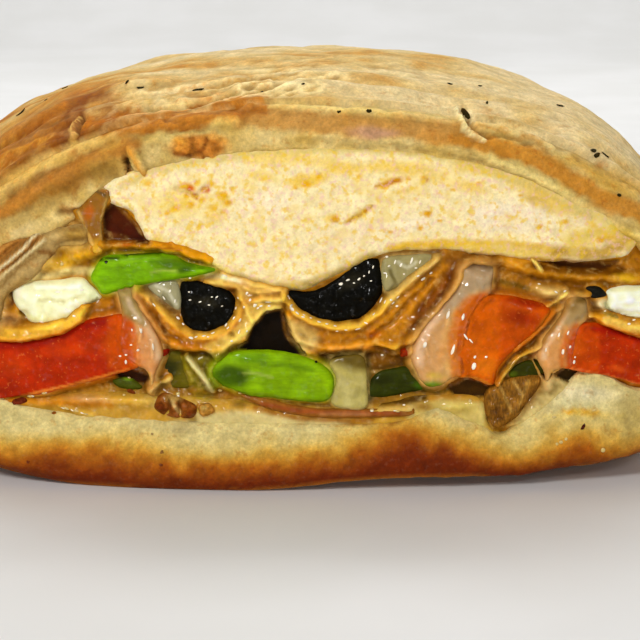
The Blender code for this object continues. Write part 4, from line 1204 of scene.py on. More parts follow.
def make_small_pieces():
    chunk(
        "pepper_strip_upper_cut", "pepper_strip_upper", "pepper",
        ((-37.6, 33.5), (-36.4, 32.4), (-32.5, 33.5), (-28.5, 34.4), (-25.1, 35.1), (-21.4, 35.7),
         (-17.4, 36.9), (-21.8, 37.9), (-23.9, 39.0), (-26.8, 39.5), (-31.0, 39.3), (-35.6, 39.0),
         (-37.3, 37.8), (-38.7, 35.2)),
        -0.6, 14.0, Finish(1.4, 1.1, 0.15, 3.0), (112, 162, 6),
        (
            ((78, 106, 2), 0.9, ("spot", (176, 264), (34, 12), 5, 0.8)),
            ((130, 176, 20), 0.6, ("line", ((96, 266), (92, 280), (104, 290)), 6, 0.9)),
            ((132, 182, 18), 0.6, ("line", ((110, 264), (135, 260)), 5, 0.9)),
            # Pale streak: painted highlight.
            ((166, 184, 84), 0.6, ("line", ((152, 273), (164, 270), (178, 271)), 2.5, 0.8)),
            ((52, 84, 4), 0.8, ("spot", (184, 270), (12, 4), -6, 0.7)),
            ((70, 112, 4), 0.6, ("line", ((150, 262), (190, 266), (212, 271)), 3, 0.8)),
            ((20, 30, 4), 0.85, ("line", ((96, 260), (135, 254), (176, 250)), 2.2, 0.6)),
        ),
    )
    chunk(
        "olive_left_wet", "olive_left", "olive",
        ((-23.7, 30.8), (-22.9, 27.4), (-20.9, 26.1), (-18.2, 26.1), (-15.8, 27.3), (-14.6, 29.0),
         (-14.2, 31.8), (-16.4, 33.8), (-19.8, 34.6), (-23.5, 34.7)),
        0.6, 12.0, SHRIVELLED, (9, 9, 7),
        # Greyer on the olive's upper part, where it glints: painted sheen.
        (((44, 42, 36), 0.7, ("spot", (205, 302), (22, 8), 10, 0.9)),), mottle=0.5, blotch=0.9, step=0.3,
    )
    chunk(
        "olive_right_wet", "olive_right", "olive",
        ((-4.4, 30.5), (-0.7, 28.4), (3.0, 27.8), (7.4, 28.9), (10.0, 32.1), (10.7, 34.5), (9.7, 38.5),
         (5.7, 38.4), (2.8, 35.2), (-1.8, 33.2), (-6.4, 33.7)),
        0.6, 13.0, SHRIVELLED, (8, 8, 6),
        # Greyer on the olive's upper part, where it glints: painted sheen.
        (((46, 44, 38), 0.7, ("spot", (352, 282), (20, 10), -30, 0.9)),), mottle=0.5, blotch=0.9, step=0.3,
    )
    chunk(
        "onion_bit_left_wet", "onion_bit_left", "onion",
        ((-28.9, 34.0), (-24.2, 34.8), (-23.6, 30.2), (-26.1, 31.2)),
        0.5, 8.0, SMALL, (158, 152, 122),
        (
            ((206, 200, 176), 0.7, ("line", ((156, 286), (168, 292), (176, 304)), 3, 0.8)),
            ((88, 80, 54), 0.7, ("line", ((162, 296), (172, 306)), 2.5, 0.8)),
        ), step=0.3,
    )
    chunk(
        "onion_bit_right_wet", "onion_bit_right", "onion",
        ((10.6, 38.4), (15.4, 39.3), (19.6, 38.9), (15.1, 35.5), (11.1, 33.2)),
        0.5, 8.0, SMALL, (160, 150, 108),
        (
            # Pale arcs: painted highlights.
            ((214, 208, 180), 0.7, ("line", ((398, 262), (408, 268), (416, 262)), 3, 0.8)),
            ((96, 84, 44), 0.7, ("line", ((390, 270), (396, 284), (388, 292)), 3, 0.8)),
        ), step=0.3,
    )
    chunk(
        "olive_bit_right_wet", "olive_bit_right", "olive",
        ((45.1, 33.3), (47.4, 33.3), (48.6, 31.7), (46.0, 31.5)), 0.2, 6.0, SMALL, (26, 26, 24), step=0.3,
    )
    chunk(
        "mozzarella_left_wet", "mozzarella_left", "mozzarella",
        ((-52.3, 31.4), (-51.6, 29.5), (-50.3, 28.4), (-49.2, 27.0), (-46.8, 26.6), (-43.3, 27.2),
         (-40.6, 29.0), (-39.5, 30.4), (-37.8, 31.0), (-36.9, 32.0), (-38.8, 33.8), (-40.4, 35.0),
         (-43.9, 34.6), (-48.6, 34.1), (-51.9, 33.3)),
        -0.4, 26.0, Finish(3.2, 1.8, 0.5, 2.6), (251, 248, 200),
        (
            ((236, 206, 120), 0.8, ("line", ((10, 284), (34, 277), (60, 275), (90, 276)), 6, 0.9)),
            ((228, 206, 186), 0.6, ("spot", (18, 292), (7, 12), 0, 0.9)),
            ((240, 226, 150), 0.7, ("line", ((28, 318), (60, 322), (78, 312)), 6, 0.9)),
            ((196, 196, 150), 0.8, ("spot", (92, 298), (9, 8), 0, 0.8)),
            ((92, 96, 50), 0.8, ("line", ((86, 305), (92, 303), (97, 299)), 2.5, 0.8)),
        ),
        (
            (0.5, ("line", ((36, 286), (56, 288), (78, 286)), 5)),
            (-0.6, ("spot", (24, 314), (9, 6))),
            (0.5, ("spot", (42, 321), (7, 5))),
            (0.4, ("spot", (70, 312), (7, 5))),
            (-0.4, ("line", ((40, 300), (64, 302), (84, 296)), 4)),
        ), walls=True, ripple=0.16,
    )
    chunk(
        "mozzarella_right_wet", "mozzarella_right", "mozzarella",
        ((48.5, 29.3), (50.6, 28.5), (53.4, 27.8), (56.2, 27.8), (57.9, 30.8), (56.4, 32.9), (52.9, 33.4),
         (50.5, 33.2), (48.4, 32.4), (47.4, 30.7)),
        -0.4, 26.0, Finish(2.2, 1.6, 0.3, 3.0), (255, 255, 216),
        (
            ((214, 206, 150), 0.85, ("spot", (604, 303), (11, 13), 0, 0.9)),
            ((110, 104, 50), 0.7, ("line", ((602, 294), (606, 306), (614, 312)), 2.5, 0.9)),
            ((240, 216, 120), 0.85, ("line", ((604, 314), (622, 318), (640, 320)), 5, 0.9)),
            ((236, 226, 170), 0.7, ("line", ((612, 290), (640, 288)), 4, 0.9)),
        ),
        (
            (-0.9, ("spot", (606, 300), (10, 12))),
            (0.5, ("spot", (630, 300), (8, 6))),
            (-0.4, ("line", ((618, 312), (640, 314)), 3)),
        ), walls=True, ripple=0.16,
    )
    chunk(
        "onion_piece_wet", "onion_piece", "onion",
        ((1.9, 14.2), (2.7, 18.4), (1.6, 21.2), (4.2, 22.3), (7.4, 22.0), (8.0, 17.5), (7.8, 13.5),
         (5.1, 13.2)),
        0.4, 10.0, CRISP, (186, 172, 104),
        (
            ((204, 192, 130), 0.7, ("line", ((344, 384), (348, 404)), 9, 0.9)),
            # Dark olive-brown over the top: painted shade.
            ((98, 80, 26), 0.95, ("area", ((322, 340), (374, 340), (374, 372), (356, 370), (338, 364),
             (322, 360)), 6)),
            ((196, 148, 98), 0.6, ("line", ((334, 412), (366, 412)), 6, 0.9)),
        ), shading=0.15,
    )
    chunk(
        "pepper_strip_middle_cut", "pepper_strip_middle", "pepper",
        ((-17.7, 18.0), (-15.2, 16.8), (-11.8, 15.6), (-7.6, 15.2), (-3.4, 14.7), (0.8, 14.7),
         (2.2, 16.4), (2.2, 18.9), (0.7, 20.8), (-2.5, 22.3), (-5.9, 23.2), (-9.7, 23.5), (-13.3, 23.3),
         (-15.3, 22.9), (-17.5, 21.4), (-18.5, 19.6)),
        -0.6, 3.0, Finish(1.6, 1.0, 0.2, 3.4), (124, 164, 2),
        (
            ((52, 80, 0), 0.92, ("spot", (230, 376), (28, 15), 0, 0.6)),
            ((96, 140, 4), 0.8, ("spot", (252, 358), (26, 8), 0, 0.8)),
            ((140, 176, 4), 0.6, ("spot", (322, 380), (14, 18), 0, 0.8)),
            # Pale streak: painted highlight.
            ((166, 184, 92), 0.6, ("line", ((244, 373), (258, 374), (272, 378)), 2.5, 0.8)),
            ((84, 122, 4), 0.6, ("line", ((262, 364), (290, 366), (312, 370)), 4, 0.8)),
            ((98, 120, 10), 0.6, ("line", ((245, 392), (285, 398), (320, 402)), 4, 0.8)),
        ), taper=0.25,
    )
    chunk(
        "pepper_strip_left_cut", "pepper_strip_left", "pepper",
        ((-27.2, 19.8), (-25.3, 22.7), (-19.4, 22.6), (-15.2, 22.6), (-16.0, 20.0), (-18.2, 17.0),
         (-23.7, 16.3), (-26.7, 17.1)),
        1.6, 15.0, CRISP, (92, 84, 12),
        (
            ((40, 44, 6), 0.9, ("spot", (166, 368), (20, 13), 0, 0.6)),
            ((134, 138, 46), 0.8, ("spot", (212, 362), (20, 12), 0, 0.8)),
        ),
    )
    chunk(
        "pepper_strip_right_cut", "pepper_strip_right", "pepper",
        ((8.4, 17.5), (10.1, 19.4), (15.6, 20.2), (18.1, 18.2), (20.6, 17.0), (15.0, 15.7), (8.5, 15.0)),
        1.4, 15.0, CRISP, (46, 54, 3),
        (
            ((30, 34, 3), 0.8, ("spot", (380, 380), (18, 8), 0, 0.8)),
            ((66, 110, 10), 0.8, ("spot", (428, 386), (20, 7), 10, 0.8)),
        ),
    )
    chunk(
        "pepper_bit_right_cut", "pepper_bit_right", "pepper",
        ((34.9, 17.7), (37.3, 18.2), (38.7, 19.2), (38.1, 20.4), (36.6, 20.8), (34.5, 20.7), (32.8, 19.7),
         (32.2, 18.3)),
        1.2, 9.0, SMALL, (50, 54, 4),
        (((96, 116, 20), 0.7, ("spot", (511, 376), (9, 6), -20, 0.8)),), step=0.3,
    )
    chunk(
        "pepper_bit_left_cut", "pepper_bit_left", "pepper",
        ((-35.3, 17.5), (-33.4, 18.0), (-31.4, 17.5), (-30.2, 16.4), (-31.6, 15.9), (-34.3, 16.3)),
        1.2, 8.0, SMALL, (66, 74, 12),
        # Light green spot: painted highlight.
        (((110, 150, 30), 0.8, ("spot", (128, 378), (7, 4), 0, 0.8)),), step=0.3,
    )
    chunk(
        "sausage_crumb_left_wet", "sausage_crumb_left", "sausage",
        ((-28.3, 13.7), (-26.6, 15.6), (-23.0, 14.6), (-20.9, 13.4), (-21.6, 11.6), (-24.9, 11.6),
         (-27.6, 12.3)),
        0.0, 9.0, SHRIVELLED, (134, 74, 26),
        (
            ((196, 160, 92), 0.8, ("spot", (174, 398), (14, 7), 0, 0.9)),
            ((96, 34, 10), 0.8, ("spot", (160, 408), (9, 7), 20, 0.7)),
            ((104, 40, 12), 0.8, ("spot", (190, 416), (7, 9), 10, 0.7)),
            ((206, 176, 116), 0.6, ("line", ((172, 402), (180, 412)), 3, 0.8)),
        ),
        (
            (1.3, ("spot", (160, 407), (8, 7), 20)),
            (1.2, ("spot", (188, 414), (8, 8), 10)),
            (1.0, ("spot", (176, 399), (9, 6))),
            (-0.8, ("line", ((168, 396), (170, 410), (166, 418)), 3)),
            (-0.7, ("line", ((180, 402), (180, 418)), 3)),
        ), step=0.28, walls=True,
    )
    chunk(
        "sausage_crumb_small_wet", "sausage_crumb_small", "sausage",
        ((-20.4, 13.6), (-18.7, 14.0), (-17.9, 12.8), (-19.3, 11.9), (-20.3, 12.2)), 0.2, 6.0, SMALL,
        (176, 124, 52), (((204, 172, 100), 0.7, ("spot", (204, 408), (5, 4), 0, 0.8)),), step=0.25,
    )
    chunk(
        "meat_chunk_cooked", "meat_chunk_right", "meat",
        ((27.9, 14.7), (29.6, 17.0), (33.9, 18.2), (37.6, 18.2), (37.2, 16.1), (35.2, 13.6), (33.6, 11.4),
         (30.6, 9.6), (28.5, 11.0)),
        0.2, 11.0, SHRIVELLED, (134, 90, 32),
        (
            ((182, 142, 78), 0.7, ("line", ((498, 384), (508, 402), (512, 412)), 2.5, 0.8)),
            ((184, 146, 84), 0.7, ("line", ((514, 382), (522, 396)), 2.5, 0.8)),
            ((176, 136, 70), 0.6, ("line", ((528, 382), (520, 404)), 2.5, 0.8)),
            ((96, 58, 18), 0.7, ("spot", (498, 414), (11, 12), 0, 0.8)),
            ((104, 66, 22), 0.6, ("spot", (532, 394), (8, 12), 30, 0.8)),
        ), step=0.3, walls=True, mottle=0.3, blotch=0.8,
    )
    chunk(
        "ham_slice_wet", "ham_slice", "ham",
        ((-13.4, 15.6), (-9.5, 15.3), (-5.1, 14.0), (1.0, 13.2), (11.0, 13.3), (15.4, 13.6), (15.2, 12.1),
         (8.4, 11.8), (0.0, 11.8), (-6.2, 12.6), (-10.5, 13.9)),
        0.4, 96.0, SMALL, (146, 92, 34),
        (
            ((150, 72, 34), 0.8, ("line", ((262, 404), (300, 411), (345, 413), (400, 413)), 4, 0.9)),
            ((176, 120, 80), 0.6, ("line", ((320, 414), (370, 414)), 3, 0.9)),
        ), step=0.3, walls=True, wobble=0.04,
    )


def make_tomatoes_and_melts():
    chunk(
        "tomato_slice_left_wet", "tomato_slice_left", "tomato",
        ((-64.0, 22.6), (-54.6, 23.7), (-46.0, 24.9), (-39.9, 27.7), (-36.3, 28.6), (-30.6, 29.1),
         (-29.6, 24.9), (-31.0, 20.2), (-42.5, 16.5), (-49.9, 14.6), (-64.0, 14.4)),
        -0.4, 62.0, Finish(1.4, 0.9, 0.25, 3.6), (174, 42, 0),
        LEFT_PAIR_TINTS + LEFT_SEAM, walls=True,
        seam=((0.95, ("line", LEFT_SEAM_LINE, 9, 0.7)),),
    )
    chunk(
        "tomato_chunk_middle_wet", "tomato_chunk_middle", "tomato",
        ((22.0, 31.4), (25.0, 32.6), (28.6, 32.5), (33.7, 31.8), (38.8, 29.9), (37.3, 26.6), (33.8, 23.6),
         (30.3, 20.1), (29.2, 17.0), (25.0, 18.5), (21.0, 19.0), (19.4, 24.0)),
        -0.6, 40.0, Finish(1.8, 1.4, 0.3, 3.4), (194, 78, 0),
        MIDDLE_SEAM + MIDDLE_PAIR_TINTS, ripple=0.12,
        seam=((1.35, ("line", MIDDLE_SEAM_LINE, 10, 0.7)),),
    )
    chunk(
        "tomato_slice_right_wet", "tomato_slice_right", "tomato",
        ((40.6, 26.4), (45.2, 27.3), (48.7, 26.9), (54.5, 24.6), (64.0, 21.6), (64.0, 13.6), (54.7, 16.4),
         (48.9, 18.2), (42.3, 19.6), (40.0, 22.6)),
        -0.4, 62.0, Finish(1.4, 0.9, 0.25, 3.6), (174, 46, 0),
        RIGHT_SEAM + RIGHT_PAIR_TINTS, walls=True,
        seam=((0.95, ("line", RIGHT_SEAM_LINE, 9, 0.7)),),
    )
    chunk(
        "white_melt_left_wet", "white_melt_left", "melt",
        ((-34.0, 33.4), (-31.9, 33.6), (-30.2, 30.6), (-28.4, 27.4), (-26.9, 24.4), (-26.5, 22.4),
         (-27.2, 20.6), (-28.0, 18.6), (-28.5, 15.9), (-28.8, 18.4), (-29.8, 20.0), (-31.4, 21.0),
         (-33.2, 22.6), (-33.6, 25.6), (-33.2, 28.4), (-33.6, 30.6)),
        -1.1, 7.0, SWOLLEN, (212, 160, 104),
        LEFT_PAIR_TINTS
        + (
            ((214, 146, 92), 0.9, ("area", ((139, 320), (150, 326), (164, 350), (160, 372), (146, 378),
             (139, 366), (138, 344)), 5)),
            *LEFT_SEAM,
            ((216, 178, 140), 0.85, ("line", ((126, 296), (138, 312), (148, 328), (156, 344),
             (158, 358)), 8)),
            ((224, 150, 96), 0.7, ("spot", (142, 358), (9, 9), 0, 0.9)),
            ((156, 134, 84), 0.95, ("area", ((114, 284), (130, 284), (142, 308), (146, 326), (134, 322),
             (122, 314), (114, 306)))),
            ((142, 104, 44), 0.8, ("spot", (122, 287), (14, 6), 0, 0.9)),
            ((172, 112, 30), 0.85, ("line", ((112, 284), (115, 300), (120, 312)), 7)),
            ((172, 112, 38), 0.85, ("line", ((134, 284), (144, 304), (151, 320), (161, 336), (166, 352)), 6)),
            ((206, 180, 150), 0.8, ("line", ((128, 300), (134, 312), (140, 320)), 4, 0.9)),
            ((232, 172, 84), 0.8, ("line", ((149, 374), (150, 392)), 3.5, 0.9)),
        ),
        (
            (-1.5, ("spot", (122, 284), (16, 12))),
            (0.5, ("line", ((141, 326), (140, 340)), 2.5)),
            (0.5, ("line", ((153, 340), (153, 356)), 2.5)),
            (0.3, ("line", ((138, 346), (139, 358)), 2.5)),
        ), step=0.3, ripple=0.16, shading=0.2,
        seam=((0.8, ("line", LEFT_SEAM_LINE, 9, 0.7)),),
    )
    chunk(
        "white_melt_middle_wet", "white_melt_middle", "melt",
        ((24.2, 37.6), (28.8, 37.4), (28.6, 33.4), (27.0, 31.6), (25.6, 29.4), (24.6, 26.0), (24.0, 22.4),
         (24.2, 19.6), (21.9, 18.2), (20.2, 17.2), (18.0, 17.2), (16.2, 19.6), (15.3, 22.3), (15.9, 25.4),
         (18.0, 28.4), (21.2, 31.8), (23.0, 34.6)),
        -1.1, 8.0, SWOLLEN, (218, 168, 104),
        MIDDLE_PAIR_TINTS
        + (
            ((206, 154, 104), 0.93, ("area", ((448, 296), (450, 312), (444, 336), (446, 352), (442, 372),
             (440, 386), (420, 386), (406, 360), (408, 336), (424, 312)), 6)),
            *MIDDLE_SEAM,
            ((228, 188, 156), 0.85, ("line", ((450, 300), (442, 312), (430, 324), (420, 344),
             (420, 362)), 7, 0.9)),
            ((228, 160, 92), 0.6, ("spot", (442, 352), (8, 20), 10, 0.9)),
            ((172, 146, 118), 0.96, ("area", ((462, 264), (498, 264), (492, 290), (470, 294), (452, 312),
             (440, 316), (448, 296), (460, 280)), 5)),
            ((94, 60, 30), 0.9, ("line", ((458, 262), (480, 262), (500, 264)), 9, 0.9)),
            ((150, 92, 30), 0.85, ("line", ((461, 264), (453, 284), (440, 304), (420, 324), (411, 342)), 9)),
            ((150, 102, 44), 0.85, ("line", ((500, 262), (498, 278), (493, 294)), 9)),
            ((206, 134, 60), 0.6, ("line", ((410, 338), (408, 356), (412, 370)), 3)),
            ((206, 170, 66), 0.8, ("spot", (434, 376), (14, 7), 0, 0.9)),
            ((104, 142, 12), 0.95, ("spot", (432, 386), (22, 7), 0, 0.8)),
        ),
        (
            (-2.2, ("spot", (484, 262), (24, 17))),
            (0.4, ("line", ((449, 311), (446, 323)), 3)),
            (0.4, ("line", ((424, 341), (428, 354)), 3)),
            (0.5, ("line", ((456, 340), (452, 356)), 3)),
        ), step=0.32, ripple=0.16, shading=0.2,
        seam=((0.85, ("line", MIDDLE_SEAM_LINE, 10, 0.7)),),
    )
    chunk(
        "white_melt_right_wet", "white_melt_right", "melt",
        ((41.9, 31.6), (44.9, 31.4), (45.2, 28.4), (43.9, 26.8), (43.2, 24.6), (42.8, 22.0), (42.6, 20.0),
         (40.8, 19.6), (39.2, 18.9), (38.6, 16.4), (38.2, 18.8), (37.2, 20.4), (36.7, 22.2), (37.6, 24.6),
         (39.4, 27.0), (41.0, 29.2)),
        -1.1, 7.0, SWOLLEN, (216, 164, 104),
        RIGHT_PAIR_TINTS
        + (
            ((212, 150, 92), 0.92, ("area", ((572, 312), (570, 326), (561, 346), (561, 366), (554, 376),
             (544, 370), (536, 358), (544, 338), (558, 322)), 5)),
            *RIGHT_SEAM,
            ((224, 184, 146), 0.75, ("line", ((570, 314), (558, 328), (546, 346), (544, 358)), 5, 0.9)),
            ((162, 134, 92), 0.95, ("area", ((576, 296), (592, 296), (588, 318), (572, 324), (562, 326),
             (570, 308)))),
            ((112, 82, 26), 0.8, ("spot", (582, 300), (14, 7), 0, 0.9)),
            ((150, 104, 40), 0.8, ("line", ((569, 298), (563, 312), (554, 326), (543, 342)), 6)),
            ((156, 106, 36), 0.8, ("line", ((594, 298), (591, 312), (585, 324)), 6)),
            ((124, 92, 40), 0.7, ("spot", (572, 307), (9, 9), 0, 0.9)),
            ((230, 176, 92), 0.8, ("line", ((551, 372), (549, 388)), 3.5, 0.9)),
        ),
        (
            (-1.6, ("spot", (586, 296), (16, 11))),
            (0.5, ("line", ((560, 330), (558, 338)), 2.5)),
            (0.5, ("line", ((546, 347), (548, 354)), 2.5)),
            (0.5, ("line", ((564, 347), (562, 355)), 2.5)),
        ), step=0.3, ripple=0.16, shading=0.2,
        seam=((0.8, ("line", RIGHT_SEAM_LINE, 9, 0.7)),),
    )
    chunk(
        "cheese_string_left_wet", "cheese_string_left", "melt",
        ((-42.6, 48.3), (-40.9, 46.3), (-39.3, 43.0), (-38.5, 39.4), (-36.4, 40.0), (-36.7, 43.7),
         (-36.2, 46.0), (-35.5, 48.4), (-35.4, 50.1), (-37.8, 50.7), (-40.5, 50.5), (-43.2, 49.9)),
        -0.4, 5.0, SMALL, (146, 98, 34),
        (
            ((182, 92, 18), 0.85, ("spot", (89, 212), (8, 12), 10, 0.8)),
            ((218, 172, 96), 0.8, ("line", ((70, 196), (80, 216), (90, 240), (95, 256)), 2.6, 0.8)),
            ((196, 160, 88), 0.7, ("line", ((108, 196), (102, 216), (101, 240)), 2.4, 0.8)),
            ((86, 70, 40), 0.8, ("line", ((82, 189), (96, 190), (106, 196)), 2.4, 0.8)),
            ((206, 186, 132), 0.8, ("line", ((66, 193), (84, 186), (106, 188)), 2.2, 0.8)),
            ((228, 172, 50), 0.9, ("spot", (97, 250), (9, 16), 0, 0.8)),
        ), step=0.3, walls=True,
    )


FOLD_TOP = ((-10, 243), (20, 231), (45, 223), (62, 219), (90, 221))
FOLD_MIDDLE = ((-10, 276), (8, 262), (22, 250), (32, 238), (46, 224))
FOLD_LOW = ((-10, 290), (4, 274), (18, 262), (32, 250), (44, 240))


def make_fold():
    chunk(
        "bread_fold_left_baked", "bread_fold_left", "crust",
        ((-64.0, 37.0), (-54.2, 40.4), (-45.4, 43.3), (-38.9, 44.0), (-39.8, 40.6), (-43.8, 40.3),
         (-45.9, 37.7), (-49.1, 34.4), (-53.4, 31.4), (-55.4, 25.8), (-64.0, 24.6)),
        -0.8, 92.0, SWOLLEN, (176, 146, 96),
        (
            ((182, 122, 56), 0.9, ("area", ((-20, 262), (-20, 244), (30, 234), (44, 236), (22, 258),
             (-4, 282)), 5)),
            ((150, 112, 44), 0.85, ("spot", (76, 234), (24, 13), 0, 0.8)),
            ((226, 212, 166), 0.9, ("line", FOLD_TOP, 3.5, 0.9)),
            ((214, 198, 156), 0.9, ("line", FOLD_MIDDLE, 2.4, 0.8)),
            ((112, 84, 50), 0.75, ("line", ((-10, 271), (8, 256), (24, 243), (38, 229)), 2, 0.8)),
            ((206, 186, 140), 0.8, ("line", FOLD_LOW, 2.6, 0.8)),
            ((132, 96, 50), 0.7, ("line", ((0, 288), (16, 270), (36, 256)), 2, 0.8)),
            # Dark brown under the fold's edge: painted shade.
            ((112, 66, 16), 0.8, ("line", ((40, 252), (50, 252), (58, 262)), 4, 0.8)),
            ((190, 150, 76), 0.7, ("spot", (76, 246), (20, 6), 0, 0.8)),
            ((150, 116, 64), 0.7, ("line", ((2, 330), (4, 300), (22, 280)), 7, 0.9)),
        ),
        (
            (1.2, ("line", FOLD_TOP, 5)),
            (1.1, ("line", FOLD_MIDDLE, 3.2)),
            (-1.0, ("line", ((-10, 266), (8, 250), (26, 236), (38, 228)), 4)),
            (0.8, ("line", FOLD_LOW, 3.5)),
            (0.6, ("line", ((52, 236), (66, 232), (84, 234)), 6)),
            (-0.6, ("line", ((56, 246), (66, 242), (84, 240)), 4)),
            (-0.7, ("line", ((-4, 282), (12, 264), (28, 250), (42, 234)), 2.6)),
        ), walls=True, wet=0.3,
    )


def make_layers():
    chunk(
        "chicken_slice_grain", "chicken_slice", "chicken",
        ((-36.4, 51.6), (-31.3, 46.0), (-28.5, 41.3), (-19.2, 38.1), (-12.5, 35.0), (-3.3, 33.6),
         (4.2, 36.7), (10.8, 39.7), (20.1, 40.1), (30.2, 38.8), (41.3, 37.7), (49.3, 38.1), (54.0, 41.0),
         (62.0, 60.0), (30.0, 72.0), (-24.0, 72.0)),
        0.1, LAYER_END, Finish(1.8, 0.9, 0.22, 2.0), (246, 226, 178),
        CHICKEN_TINTS, CHICKEN_HEIGHTS, walls=True, mottle=0.05, reach=2.4, wet=0.3, wobble=0.35, ripple=0.12,
    )
    chunk(
        "pale_cheese_base_wet", "pale_cheese_base", "pale_cheese",
        ((-66.0, 14.0), (-54.8, 14.6), (-47.8, 14.4), (-37.3, 15.4), (-28.8, 15.3), (-20.3, 14.8),
         (-12.7, 14.4), (-3.4, 13.6), (8.4, 13.6), (15.5, 15.0), (22.0, 15.2), (27.0, 14.6), (28.5, 11.0),
         (26.0, 4.0), (-20.0, 2.0), (-66.0, 4.0)),
        0.9, LAYER_END, LAYER, (196, 148, 56), BASE_TINTS, BASE_HEIGHTS, walls=True, mottle=0.14,
    )
    chunk(
        "orange_cheese_melted", "orange_cheese_melt", "orange_cheese",
        ((-66.0, 10.0), (-66.0, 60.0), (-20.0, 74.0), (30.0, 74.0), (66.0, 60.0), (66.0, 10.0),
         (40.0, 6.0), (-40.0, 6.0)),
        1.9, LAYER_END, Finish(1.6, 0.5, 0.5, 2.4), (172, 112, 22), CHEESE_TINTS, CHEESE_HEIGHTS,
        walls=True, mottle=0.22, reach=1.6, melted=2.4, step=0.33, shading=0.5, ripple=0.15,
    )


YELLOW_FLECKS = (  # across, down and size
    (183, 186, 5), (197, 182, 4), (211, 184, 4), (222, 195, 6), (229, 203, 5), (224, 212, 4),
    (213, 207, 5), (190, 205, 5), (176, 209, 6), (202, 199, 5), (186, 196, 4), (231, 189, 3),
    (168, 212, 4), (306, 184, 5), (318, 178, 4), (296, 187, 3), (384, 186, 5), (396, 180, 4),
    (408, 178, 3), (424, 180, 5), (427, 213, 5), (336, 219, 5), (350, 220, 4), (366, 211, 4),
    (360, 176, 3), (262, 178, 3), (250, 199, 3), (452, 190, 3), (478, 184, 4), (440, 222, 3),
    (420, 228, 4), (390, 232, 3), (540, 226, 4), (566, 222, 4), (594, 226, 5), (520, 196, 3),
    (600, 240, 4), (578, 236, 3), (148, 183, 4), (200, 226, 3),
)

